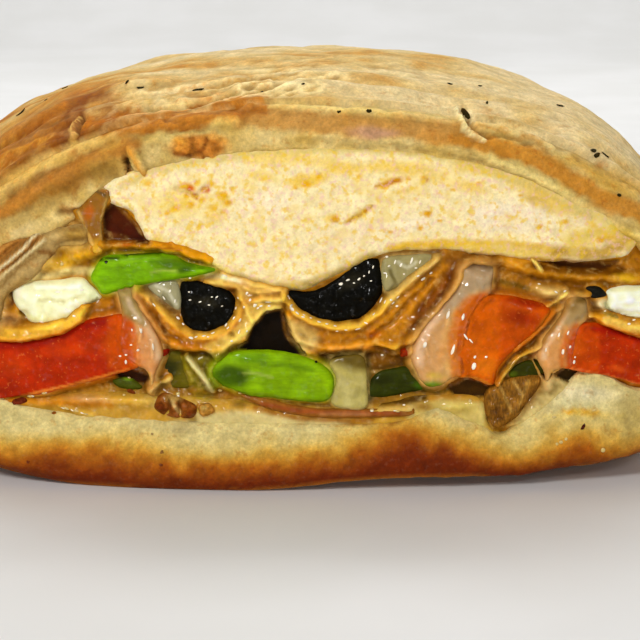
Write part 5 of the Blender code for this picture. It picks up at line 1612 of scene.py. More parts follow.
CHICKEN_TINTS = (
    ((208, 182, 112), 0.9, ("line", ((462, 162), (500, 172), (536, 190), (566, 206), (590, 218)), 10, 0.9)),
    # Olive-brown below the crust's pale ridge: painted shade.
    ((180, 148, 78), 0.85, ("spot", (540, 203), (28, 9), 24, 0.9)),
    ((236, 192, 52), 0.75, ("spot", (308, 180), (30, 9), -8, 0.6)),
    ((228, 176, 40), 0.7, ("spot", (306, 184), (5, 4), 0, 0.8)),
    ((234, 186, 50), 0.7, ("spot", (392, 182), (20, 6), -16, 0.7)),
    ((236, 194, 66), 0.7, ("spot", (330, 218), (12, 6), 0, 0.8)),
    ((238, 198, 70), 0.7, ("spot", (360, 214), (22, 6), -28, 0.8)),
    ((238, 200, 76), 0.6, ("spot", (262, 176), (22, 8), 10, 0.8)),
    # Brown above the dark slit: painted shade.
    ((150, 100, 50), 0.85, ("line", ((526, 257), (560, 261), (600, 264), (626, 259)), 3.5, 0.9)),
    ((214, 188, 118), 0.9, ("line", ((122, 186), (150, 170), (200, 160), (260, 153), (330, 149), (400, 150),
     (460, 158), (520, 176), (580, 206), (632, 232)), 8, 0.9)),
    ((240, 200, 84), 0.6, ("line", ((250, 160), (300, 158), (360, 168), (420, 166)), 9, 0.9)),
    ((232, 196, 90), 0.55, ("spot", (470, 168), (40, 9), 10, 0.9)),
    ((244, 222, 190), 0.6, ("spot", (350, 236), (60, 22), -10, 0.9)),
    ((244, 224, 190), 0.6, ("spot", (500, 216), (50, 16), 6, 0.9)),
    ((244, 218, 140), 0.7, ("spot", (170, 205), (36, 22), 10, 0.9)),
    ((232, 190, 60), 0.8, ("spot", (180, 207), (9, 4), -10, 0.7)),
    ((232, 192, 64), 0.8, ("spot", (226, 204), (9, 6), 20, 0.7)),
    ((214, 130, 20), 0.9, ("spot", (190, 187), (8, 6), 10, 0.7)),
    ((224, 180, 20), 0.85, ("spot", (178, 207), (10, 4), -10, 0.6)),
    ((220, 170, 24), 0.85, ("spot", (222, 196), (9, 6), 20, 0.6)),
    ((222, 174, 30), 0.85, ("spot", (212, 208), (8, 4), 0, 0.6)),
    ((226, 190, 40), 0.85, ("spot", (148, 183), (7, 4), 0, 0.6)),
    ((190, 56, 16), 0.95, ("spot", (206, 190), (7, 4.5), -10, 0.7)),
    ((190, 92, 16), 0.9, ("spot", (194, 195), (6, 4), 40, 0.7)),
    ((176, 110, 30), 0.7, ("spot", (188, 203), (3, 2), 0, 0.7)),
    ((240, 206, 120), 0.6, ("spot", (250, 186), (18, 8), 30, 0.9)),
    ((238, 200, 96), 0.6, ("spot", (420, 172), (70, 14), 12, 0.9)),
    ((234, 190, 84), 0.6, ("spot", (545, 200), (46, 13), 26, 0.9)),
    ((214, 150, 40), 0.8, ("line", ((376, 186), (392, 182), (400, 180)), 3, 0.8)),
    ((206, 130, 36), 0.8, ("spot", (426, 179), (6, 3), -8, 0.7)),
    ((184, 136, 40), 0.7, ("line", ((346, 222), (358, 214), (372, 207)), 2.2, 0.8)),
    ((208, 150, 40), 0.7, ("spot", (334, 219), (6, 4), 0, 0.7)),
    ((222, 164, 50), 0.8, ("spot", (428, 213), (6, 4), -20, 0.7)),
    ((230, 190, 80), 0.6, ("spot", (404, 192), (22, 6), -10, 0.9)),
    ((234, 204, 88), 0.8, ("line", ((155, 240), (176, 252), (206, 262), (232, 276)), 8, 0.9)),
    ((206, 160, 62), 0.8, ("line", ((150, 246), (178, 258), (205, 266)), 4, 0.9)),
    # Greyish-olive along the lower edge, and over the olive below it: painted shade.
    ((176, 146, 74), 0.9, ("line", ((234, 278), (270, 288), (302, 288), (340, 272), (372, 256)), 9, 0.9)),
    ((140, 126, 92), 0.7, ("line", ((286, 290), (312, 288), (342, 277)), 4, 0.9)),
    ((230, 192, 84), 0.8, ("line", ((392, 248), (440, 244), (500, 250), (560, 254)), 7, 0.9)),
    ((198, 150, 62), 0.8, ("line", ((420, 251), (470, 253), (520, 258), (560, 260)), 4, 0.9)),
    ((214, 184, 70), 0.85, ("line", ((570, 240), (600, 232), (622, 226)), 9, 0.9)),
    ((190, 148, 58), 0.9, ("line", ((556, 252), (600, 253), (632, 242)), 10, 0.8)),
    ((196, 158, 66), 0.8, ("spot", (628, 234), (20, 18), 0, 0.9)),
    ((248, 230, 204), 0.6, ("area", ((466, 208), (500, 200), (540, 206), (556, 222), (520, 234),
     (480, 228)), 7)),
    ((252, 232, 204), 0.7, ("spot", (415, 224), (36, 15), -5)),
    ((248, 230, 204), 0.65, ("spot", (268, 204), (46, 26))),
    ((250, 232, 196), 0.7, ("spot", (136, 193), (28, 9), 20)),
    ((234, 192, 84), 0.75, ("spot", (340, 169), (30, 10))),
    ((234, 190, 70), 0.7, ("spot", (470, 188), (30, 10), 12)),
    ((226, 176, 40), 0.8, ("line", ((388, 247), (440, 243), (500, 243), (548, 248)), 6)),
    ((222, 170, 20), 0.85, ("spot", (608, 236), (20, 10), 10, 0.9)),
    ((236, 194, 84), 0.75, ("spot", (214, 216), (20, 11))),
    ((236, 200, 96), 0.7, ("spot", (184, 200), (30, 22))),
    ((230, 190, 70), 0.7, ("spot", (580, 243), (24, 7), 4)),
    ((248, 226, 190), 0.6, ("spot", (585, 222), (18, 8), 20)),
    *(
        ((228, 168, 6), 0.95, ("spot", (across, down), (1.2 * size, 0.85 * size), -10, 0.6))
        for across, down, size in YELLOW_FLECKS
    ),
    ((206, 92, 20), 0.95, ("spot", (190, 188), (6, 4), 10, 0.7)),
    ((186, 44, 20), 0.95, ("spot", (206, 190), (7, 4), -10, 0.7)),
    ((190, 92, 16), 0.9, ("spot", (195, 196), (5, 3.5), 40, 0.7)),
    ((196, 120, 24), 0.85, ("line", ((384, 186), (400, 180)), 2.4, 0.8)),
    ((168, 84, 30), 0.9, ("spot", (427, 180), (4, 2.5), 0, 0.7)),
    ((176, 120, 30), 0.85, ("line", ((349, 222), (362, 214), (374, 207)), 2, 0.8)),
    ((200, 140, 30), 0.85, ("spot", (336, 220), (5, 3), 0, 0.7)),
    ((210, 146, 30), 0.85, ("spot", (429, 213), (5, 3.5), -20, 0.7)),
)

CHICKEN_HEIGHTS = (
    (-0.5, ("line", ((176, 188), (196, 196), (206, 188)), 5)),
    (-0.3, ("line", ((344, 223), (372, 206)), 3)),
    (-0.3, ("line", ((376, 187), (402, 179)), 3)),
    (0.6, ("spot", (300, 270), (70, 18), 6)),
    (0.5, ("spot", (540, 240), (70, 14), 4)),
)

BASE_TINTS = (
    ((214, 196, 140), 0.9, ("area", ((196, 414), (236, 410), (300, 417), (350, 420), (350, 440),
     (196, 440)))),
    ((212, 192, 132), 0.85, ("area", ((-10, 413), (40, 412), (100, 418), (160, 424), (200, 420), (200, 444),
     (-10, 444)))),
    ((214, 192, 118), 0.85, ("area", ((408, 404), (440, 400), (486, 402), (486, 440), (408, 440)))),
    ((188, 126, 40), 0.8, ("spot", (60, 399), (74, 10), 0, 0.9)),
    ((224, 176, 80), 0.7, ("spot", (104, 408), (30, 10), 0, 0.9)),
    ((206, 160, 118), 0.6, ("spot", (88, 400), (34, 7), 5, 0.9)),
    ((128, 56, 18), 0.8, ("spot", (14, 402), (16, 6), 10, 0.7)),
    ((150, 92, 26), 0.7, ("spot", (54, 414), (5, 4), 0, 0.7)),
    ((190, 160, 84), 0.6, ("spot", (152, 400), (24, 14), 0, 0.9)),
    ((150, 138, 36), 0.8, ("spot", (206, 394), (22, 10), 0, 0.8)),
    ((118, 112, 20), 0.8, ("spot", (250, 398), (22, 6), 8, 0.8)),
    ((110, 84, 20), 0.7, ("spot", (240, 404), (14, 5), 0, 0.8)),
    # Dark brown under the tomato's rim: painted shade.
    ((122, 74, 20), 0.8, ("line", ((44, 392), (80, 386), (112, 380)), 5, 0.9)),
    # Grey under the sausage crumb: painted shadow.
    ((176, 160, 120), 0.7, ("spot", (180, 424), (22, 8), 0, 0.9)),
    ((78, 50, 2), 0.95, ("line", ((360, 402), (400, 401), (424, 397)), 7, 0.8)),
    ((148, 104, 32), 0.85, ("spot", (424, 407), (20, 8), 0, 0.9)),
    ((198, 160, 92), 0.7, ("line", ((380, 410), (412, 408)), 5, 0.9)),
    ((172, 116, 40), 0.7, ("line", ((430, 398), (470, 392)), 5, 0.9)),
    ((190, 166, 86), 0.8, ("spot", (458, 408), (30, 9), 0, 0.9)),
    ((150, 92, 18), 0.85, ("line", ((256, 408), (300, 418), (350, 421), (372, 419)), 6, 0.9)),
    # Dark brown under the tomato's rim: painted shade.
    ((112, 42, 2), 0.9, ("line", ((36, 396), (60, 391), (84, 387), (112, 381)), 5, 0.9)),
    ((190, 116, 8), 0.8, ("line", ((0, 399), (50, 402), (110, 405)), 7)),
)

BASE_HEIGHTS = (
    (0.9, ("line", ((-10, 404), (40, 402), (100, 400), (146, 402)), 9)),
    (0.7, ("line", ((60, 407), (92, 416)), 4)),
    (0.6, ("spot", (106, 408), (12, 7))),
    (-0.6, ("spot", (244, 400), (16, 6))),
    (0.7, ("line", ((372, 412), (410, 410)), 5)),
    (0.6, ("spot", (452, 408), (24, 8))),
)

RIBBON_LEFT = (
    (134, 284), (150, 298), (164, 314), (180, 329), (194, 337), (210, 336), (226, 329), (238, 314),
    (243, 300), (262, 297), (286, 294), (282, 310), (266, 314), (254, 328), (246, 342), (232, 346),
    (217, 358), (206, 352), (188, 353), (170, 349), (158, 334), (146, 316), (132, 296),
)
RIBBON_RIGHT = (
    (283, 292), (294, 309), (310, 319), (335, 325), (358, 324), (377, 312), (386, 299), (402, 287),
    (418, 272), (434, 258), (446, 252), (474, 258), (466, 276), (452, 296), (436, 316), (420, 338),
    (408, 346), (396, 352), (378, 348), (352, 352), (322, 356), (304, 354), (292, 338), (286, 320),
)
LEFT_RIM = ((138, 286), (158, 307), (176, 324), (192, 335), (208, 336), (224, 329), (236, 316), (240, 300))
RIGHT_RIM = (
    (285, 296), (296, 311), (314, 321), (338, 327), (360, 325), (378, 312), (388, 299), (404, 286),
    (420, 271), (436, 258),
)

LIP_SIDE = (
    (546, 377), (566, 375), (584, 383), (566, 398), (540, 418), (520, 430), (508, 426), (530, 404),
     (541, 388),
)
LOW_STRAND = ((540, 346), (520, 358), (506, 374), (496, 390))
HIGH_STRAND = ((560, 308), (540, 330), (516, 350))

CHEESE_HEIGHTS = (
    (2.2, ("area", RIBBON_LEFT, 3.5)),
    (0.7, ("line", LEFT_RIM, 6)),
    (0.5, ("line", ((170, 342), (192, 347), (212, 352), (232, 342), (246, 330)), 6)),
    (-0.5, ("line", ((150, 312), (166, 332), (184, 344)), 4)),
    (0.6, ("line", ((236, 296), (246, 306), (252, 322)), 4)),
    (0.6, ("line", ((256, 300), (262, 306)), 4)),
    (-0.6, ("spot", (232, 334), (7, 4), 30)),
    (1.6, ("area", RIBBON_RIGHT, 3.5)),
    (1.3, ("line", RIGHT_RIM, 7)),
    (0.9, ("line", ((300, 340), (320, 348), (350, 346), (376, 342), (396, 348)), 6)),
    (-0.7, ("line", ((372, 336), (392, 322), (412, 300), (432, 280)), 5)),
    (0.6, ("line", ((406, 330), (428, 306), (446, 282)), 6)),
    (1.8, ("area", ((206, 284), (222, 275), (240, 278), (288, 288), (286, 300), (262, 300), (240, 300),
     (234, 290), (218, 287)))),
    (1.1, ("line", ((146, 246), (180, 252), (208, 262)), 6)),
    (2.8, ("spot", (484, 261), (22, 7))),
    (2.6, ("spot", (585, 294), (13, 5))),
    (0.8, ("spot", (224, 277), (6, 4), 10)),
    (0.5, ("line", ((244, 288), (256, 292), (270, 292)), 4)),
    (1.8, ("line", ((96, 244), (130, 244), (170, 245), (212, 258)), 9)),
    (2.0, ("spot", (78, 254), (26, 15), 0, 0.9)),
    (1.6, ("spot", (56, 266), (26, 12), 0, 0.9)),
    (2.8, ("area", ((-10, 322), (20, 324), (44, 324), (66, 318), (82, 304), (88, 308), (84, 322), (60, 334),
     (20, 342), (-10, 340)))),
    (0.6, ("spot", (42, 322), (6, 5))),
    (0.5, ("spot", (72, 314), (6, 5))),
    (1.2, ("spot", (12, 316), (18, 10))),
    (1.8, ("line", ((502, 262), (540, 272), (580, 277), (640, 280)), 10)),
    (1.4, ("line", ((526, 248), (532, 258), (540, 268)), 3)),
    (2.0, ("spot", (550, 293), (26, 12), 8)),
    (0.9, ("line", ((546, 307), (558, 302), (566, 294)), 3.5)),
    (0.5, ("spot", (566, 290), (5, 3))),
    (2.8, ("area", ((590, 316), (606, 312), (624, 318), (650, 322), (650, 338), (626, 334), (606, 326)))),
    (1.4, ("spot", (604, 304), (16, 10))),
    (1.2, ("line", ((366, 352), (395, 358), (412, 352)), 7)),
    (1.4, ("line", ((186, 356), (198, 372), (214, 392)), 5)),
    (1.0, ("area", ((180, 358), (250, 352), (250, 362), (228, 368), (216, 392), (188, 386)))),
    (1.0, ("spot", (200, 392), (18, 8))),
    (1.6, ("line", LOW_STRAND, 4)),
    (1.4, ("line", HIGH_STRAND, 6)),
    (1.0, ("line", ((150, 392), (160, 384), (170, 380)), 5)),
    (-13.0, ("area", ((104, 214), (113, 205), (124, 214), (147, 242), (104, 240)), 3)),
    (-13.0, ("area", ((266, 314), (281, 311), (284, 322), (290, 338), (304, 355), (270, 355), (238, 350),
     (248, 342), (254, 329)), 2.5)),
    (-1.6, ("area", ((368, 354), (388, 352), (404, 358), (402, 366), (384, 370), (368, 370)), 5)),
    (-7.0, ("area", ((114, 373), (128, 368), (148, 374), (146, 382), (126, 382)), 3)),
    (-8.0, ("area", ((450, 388), (466, 379), (478, 381), (496, 389), (486, 397), (456, 396)), 3)),
    (-7.0, ("area", ((536, 362), (544, 366), (552, 376), (546, 380)), 2)),
    (-7.0, ("area", ((556, 376), (566, 369), (582, 374), (568, 382)), 2)),
    (-3.0, ("area", ((530, 256), (576, 260), (618, 264), (604, 270), (560, 267)), 3)),
    (0.8, ("area", LIP_SIDE, 6)),
    (-2.4, ("line", ((12, 280), (10, 296), (14, 304)), 4)),
    (-2.0, ("spot", (23, 314), (7, 6))),
    (-2.2, ("spot", (346, 362), (24, 6))),
)

CHEESE_TINTS = (
    ((206, 156, 34), 0.85, ("spot", (60, 262), (44, 22), 0, 0.9)),
    ((226, 162, 20), 0.85, ("spot", (84, 252), (20, 12), 0, 0.9)),
    ((236, 214, 150), 0.85, ("line", ((28, 280), (50, 275), (74, 270), (92, 272)), 7, 0.9)),
    # Dark brown under the fold's edge: painted shade.
    ((120, 66, 14), 0.8, ("line", ((38, 262), (46, 254), (54, 254)), 4, 0.8)),
    ((200, 132, 8), 0.9, ("line", ((98, 245), (150, 246), (214, 258)), 12, 0.9)),
    ((186, 82, 12), 0.7, ("spot", (126, 245), (10, 5), 0, 0.9)),
    ((192, 110, 18), 0.7, ("spot", (166, 242), (20, 6), 8, 0.9)),
    ((132, 66, 10), 0.85, ("line", ((98, 257), (130, 251), (180, 249)), 3, 0.9)),
    ((190, 122, 20), 0.85, ("area", ((84, 300), (116, 294), (120, 316), (100, 322), (84, 318)))),
    ((224, 176, 90), 0.9, ("area", ((190, 270), (216, 264), (240, 278), (286, 290), (282, 304), (244, 306),
     (236, 290), (212, 286)))),
    # Near-white streak: painted highlight.
    ((240, 216, 170), 0.8, ("line", ((206, 275), (222, 276), (240, 282)), 4, 0.9)),
    ((150, 84, 24), 0.75, ("spot", (230, 290), (9, 6), 30, 0.8)),
    ((196, 150, 100), 0.7, ("spot", (244, 284), (10, 6), 20, 0.9)),
    ((182, 112, 16), 0.95, ("area", RIBBON_LEFT)),
    # Bright along the ribbon's upper edge: painted highlight.
    ((226, 168, 66), 0.85, ("line", LEFT_RIM, 6, 0.9)),
    ((156, 88, 12), 0.8, ("line", ((136, 296), (150, 316), (162, 334)), 6, 0.9)),
    ((186, 104, 20), 0.7, ("spot", (186, 346), (16, 6), 10, 0.9)),
    ((228, 188, 94), 0.9, ("area", ((204, 346), (216, 340), (240, 326), (246, 304), (262, 300), (284, 296),
     (282, 310), (262, 316), (250, 336), (232, 346), (217, 358)))),
    ((240, 178, 60), 0.8, ("spot", (216, 350), (10, 6), 0, 0.9)),
    ((192, 124, 20), 0.95, ("area", RIBBON_RIGHT)),
    # Dark brown on the ribbon's concave back: painted shade.
    ((116, 58, 0), 0.92, ("area", ((416, 332), (438, 308), (456, 284), (470, 262), (452, 262), (436, 284),
     (416, 308), (404, 330)), 6)),
    # Bright along the ribbon's upper edge: painted highlight.
    ((226, 166, 60), 0.85, ("line", RIGHT_RIM, 7, 0.8)),
    # Pale spot where the ribbon glints: painted highlight.
    ((236, 190, 96), 0.6, ("spot", (394, 300), (12, 8), -30, 0.9)),
    ((198, 164, 96), 0.9, ("area", ((286, 318), (300, 322), (316, 330), (314, 350), (300, 352),
     (292, 340)), 5)),
    ((230, 200, 130), 0.6, ("spot", (314, 340), (10, 8), 0, 0.9)),
    ((216, 136, 50), 0.7, ("line", ((330, 348), (352, 348), (372, 346)), 5, 0.9)),
    ((190, 92, 16), 0.7, ("spot", (374, 334), (14, 7), -10, 0.9)),
    ((226, 170, 60), 0.7, ("spot", (398, 347), (9, 5), 10, 0.9)),
    ((60, 46, 14), 0.85, ("line", ((284, 314), (288, 332), (298, 350)), 2.5, 0.9)),
    # Dark below the ribbon: painted shade.
    ((70, 50, 12), 0.85, ("spot", (344, 362), (26, 6), 0, 0.8)),
    # Dark orange-brown in the recess below the ribbon: painted shade.
    ((120, 76, 8), 0.9, ("area", ((364, 352), (388, 350), (408, 356), (404, 366), (384, 371), (364, 374)))),
    ((160, 50, 10), 0.9, ("spot", (406, 352), (8, 8), 0, 0.7)),
    ((122, 118, 24), 0.85, ("area", ((166, 354), (250, 352), (250, 362), (228, 368), (216, 392),
     (188, 386)))),
    ((196, 178, 124), 0.9, ("line", ((188, 358), (200, 374), (212, 392)), 4, 0.8)),
    ((170, 165, 50), 0.8, ("spot", (202, 396), (18, 7), 0, 0.8)),
    ((200, 130, 20), 0.85, ("spot", (510, 266), (20, 10), 0, 0.9)),
    ((164, 106, 10), 0.9, ("area", ((530, 262), (560, 270), (620, 270), (650, 274), (650, 290), (600, 288),
     (560, 284), (530, 276)), 5)),
    # Dark along the slit: painted shade.
    ((96, 54, 2), 0.9, ("line", ((536, 266), (560, 270), (590, 272), (622, 272)), 6, 0.8)),
    ((196, 152, 34), 0.7, ("spot", (626, 278), (22, 8), 0, 0.9)),
    ((110, 80, 8), 0.85, ("line", ((494, 280), (514, 284), (528, 288)), 5, 0.9)),
    ((234, 192, 96), 0.85, ("line", ((526, 248), (532, 258), (541, 270)), 3, 0.9)),
    ((202, 166, 100), 0.9, ("spot", (550, 292), (28, 11), 8, 0.9)),
    # Bright curved edge of the glob: painted highlight.
    ((246, 196, 96), 0.9, ("line", ((545, 308), (558, 302), (567, 293)), 2.8, 0.9)),
    ((150, 108, 22), 0.8, ("spot", (580, 294), (9, 8), 0, 0.9)),
    ((206, 200, 160), 0.85, ("spot", (606, 304), (18, 8), 0, 0.9)),
    ((96, 92, 30), 0.8, ("line", ((604, 313), (616, 317)), 3, 0.8)),
    ((204, 136, 24), 0.9, ("line", ((590, 318), (606, 322), (622, 326)), 7, 0.9)),
    ((248, 206, 100), 0.9, ("line", ((606, 321), (622, 325), (634, 328), (650, 330)), 6, 0.9)),
    ((232, 178, 62), 0.95, ("line", ((-10, 334), (22, 335), (50, 330), (70, 323), (86, 312)), 9, 0.9)),
    ((200, 132, 30), 0.7, ("line", ((-10, 341), (30, 341), (66, 333), (88, 320)), 3.5, 0.9)),
    ((196, 146, 94), 0.85, ("spot", (8, 320), (20, 9), 0, 0.9)),
    ((98, 52, 34), 0.9, ("line", ((13, 279), (10, 292), (12, 303)), 3.5, 0.8)),
    ((124, 92, 22), 0.85, ("spot", (23, 314), (8, 6), 20, 0.7)),
    ((198, 146, 52), 0.85, ("line", LOW_STRAND, 4, 0.9)),
    ((160, 100, 24), 0.7, ("line", HIGH_STRAND, 6, 0.9)),
    ((150, 118, 40), 0.7, ("spot", (508, 366), (12, 8), -30, 0.9)),
    ((140, 40, 8), 0.85, ("spot", (533, 355), (6, 4), -30, 0.8)),
    ((208, 174, 100), 0.8, ("line", ((150, 394), (160, 386), (170, 380)), 5, 0.9)),
    # Dark below the ribbon: painted shade.
    ((92, 48, 4), 0.9, ("area", ((316, 352), (340, 349), (372, 350), (370, 358), (352, 364), (322, 362)), 3)),
    # Dark brown on the ribbon's concave back: painted shade.
    ((110, 62, 8), 0.8, ("spot", (424, 322), (18, 20), 40, 0.9)),
    # Dark lines round the onion and the peppers: painted contact shade.
    ((88, 60, 14), 0.85, ("line", ((331, 372), (338, 360), (352, 357), (368, 360), (369, 380),
     (369, 404)), 3.2, 0.8)),
    ((88, 66, 14), 0.85, ("line", ((371, 398), (371, 384), (384, 373), (404, 371), (414, 380),
     (424, 392)), 3.4, 0.8)),
    ((104, 84, 14), 0.8, ("line", ((412, 372), (420, 386), (434, 393), (448, 390)), 3, 0.8)),
    ((120, 66, 14), 0.8, ("line", ((150, 300), (163, 326), (170, 342)), 3, 0.9)),
    ((150, 84, 16), 0.8, ("line", ((500, 262), (498, 280), (494, 292)), 3, 0.9)),
    ((124, 76, 20), 0.85, ("area", ((438, 250), (480, 250), (504, 257), (498, 267), (470, 262), (446, 264)))),
    ((200, 178, 120), 0.9, ("area", LIP_SIDE, 7)),
    # From here on: near-black and dark brown in the deep hollows and the slit, painted shade.
    ((120, 62, 6), 0.9, ("area", ((104, 228), (136, 228), (150, 246), (104, 246)), 5)),
    ((70, 20, 3), 0.97, ("area", ((102, 214), (113, 203), (126, 214), (150, 244), (104, 232)), 3)),
    ((6, 5, 2), 0.99, ("area", ((264, 313), (281, 310), (283, 322), (288, 338), (304, 356), (270, 356),
     (234, 350), (246, 342), (252, 328)), 2.5)),
    ((50, 22, 4), 0.98, ("area", ((112, 373), (128, 367), (150, 374), (148, 384), (124, 384)), 3)),
    ((56, 36, 6), 0.98, ("area", ((446, 388), (466, 378), (480, 381), (498, 389), (488, 398),
     (454, 398)), 3)),
    ((10, 7, 2), 0.98, ("area", ((534, 360), (544, 366), (553, 377), (546, 382)), 2)),
    ((60, 46, 20), 0.98, ("area", ((555, 377), (566, 368), (584, 374), (568, 384)), 2)),
    ((76, 38, 2), 0.94, ("area", ((530, 256), (576, 260), (620, 264), (604, 270), (560, 267)), 3)),
)


# Small things lying on the food, and white beads on it that are painted highlights.


def food_surface():
    """All the pieces made so far as one tree of faces, in the loaf's millimetres."""
    points, faces = [], []
    for obj in bpy.context.scene.objects:
        if obj.type != "MESH" or "tint" not in obj.data.attributes:
            continue
        first = len(points)
        points += [Vector(v.co) / MM - Vector(SHIFT) for v in obj.data.vertices]
        faces += [[first + i for i in face.vertices] for face in obj.data.polygons]
    return BVHTree.FromPolygons(points, faces)


def seen_at(tree, pixel):
    """The place and the normal of the food that this pixel of the view shows."""
    across, down = pixel
    sideways, upwards = across - VIEW_MIDDLE, VIEW_MIDDLE - down
    ray = Vector(AHEAD + (sideways * RIGHT + upwards * UPWARD) / FOCAL_PIXELS).normalized()
    place, normal, *_ = tree.ray_cast(Vector(EYE), ray)
    return place, normal


def blob_shape(detail):
    """A ball's points and faces."""
    bm = bmesh.new()
    bmesh.ops.create_icosphere(bm, subdivisions=detail, radius=1.0)
    points = np.array([tuple(v.co) for v in bm.verts])
    faces = [tuple(v.index for v in face.verts) for face in bm.faces]
    bm.free()
    return points, faces


def scattered(name, slot, material, tree, things, **more):
    """One mesh of small blobs, each (pixel, length, width, thickness, turn, colour), pressed on the food."""
    ball, ball_faces = blob_shape(more.get("detail", 3))
    points, faces, colours = [], [], []
    for count, (pixel, length, width, thickness, turn, colour) in enumerate(things):
        place, normal = seen_at(tree, pixel)
        if place is None:
            continue
        along = RIGHT - normal[0] * np.array(normal)
        along /= np.linalg.norm(along)
        across = np.cross(np.array(normal), along)
        c, s = math.cos(math.radians(turn)), math.sin(math.radians(turn))
        along, across = c * along + s * across, c * across - s * along
        uneven = 1 + more.get("uneven", 0.3) * lumps(ball + 7.0 * count, 0.9, 2, count)
        shape = ball * uneven[:, None] * np.array((length, width, thickness))
        shape[:, 2] += more.get("curl", 0.0) * length * (shape[:, 0] / length) ** 2
        middle = np.array(place) + more.get("sunk", 0.1) * thickness * np.array(normal)
        first = sum(len(part) for part in points)
        placed = middle + shape[:, :1] * along + shape[:, 1:2] * across
        points.append(placed + shape[:, 2:] * np.array(normal))
        faces += [tuple(first + i for i in face) for face in ball_faces]
        colours.append(np.tile(linear(colour), (len(ball), 1)))
    points, colours = np.vstack(points), np.vstack(colours)
    make_piece(name, points, faces, colours, more.get("wet", 0.5), MATERIALS[material])


HERB = (44, 40, 18)
HERBS = (  # pixel, half length, half width, half thickness, turn
    ((21, 113), 1.0, 0.4, 0.14, 40), ((65, 88), 0.7, 0.35, 0.12, 20), ((140, 88), 0.6, 0.4, 0.14, 0),
    ((198, 90), 1.0, 0.3, 0.12, 10), ((369, 111), 0.5, 0.3, 0.12, 0), ((339, 112), 0.35, 0.25, 0.1, 0),
    ((466, 114), 1.0, 0.42, 0.16, -50), ((480, 86), 0.35, 0.25, 0.1, 0), ((487, 103), 0.45, 0.2, 0.1, 80),
    ((560, 106), 0.8, 0.4, 0.14, 20), ((593, 151), 0.9, 0.5, 0.16, 60), ((597, 155), 0.6, 0.4, 0.14, 30),
    ((605, 155), 0.8, 0.3, 0.12, -30), ((608, 122), 0.7, 0.4, 0.14, 0), ((619, 195), 0.4, 0.3, 0.12, 0),
    ((127, 82), 0.5, 0.3, 0.1, 60), ((46, 100), 0.35, 0.25, 0.1, 0), ((450, 84), 0.5, 0.4, 0.1, 0),
    ((303, 84), 0.3, 0.2, 0.1, 0), ((262, 92), 0.3, 0.2, 0.1, 30),
)

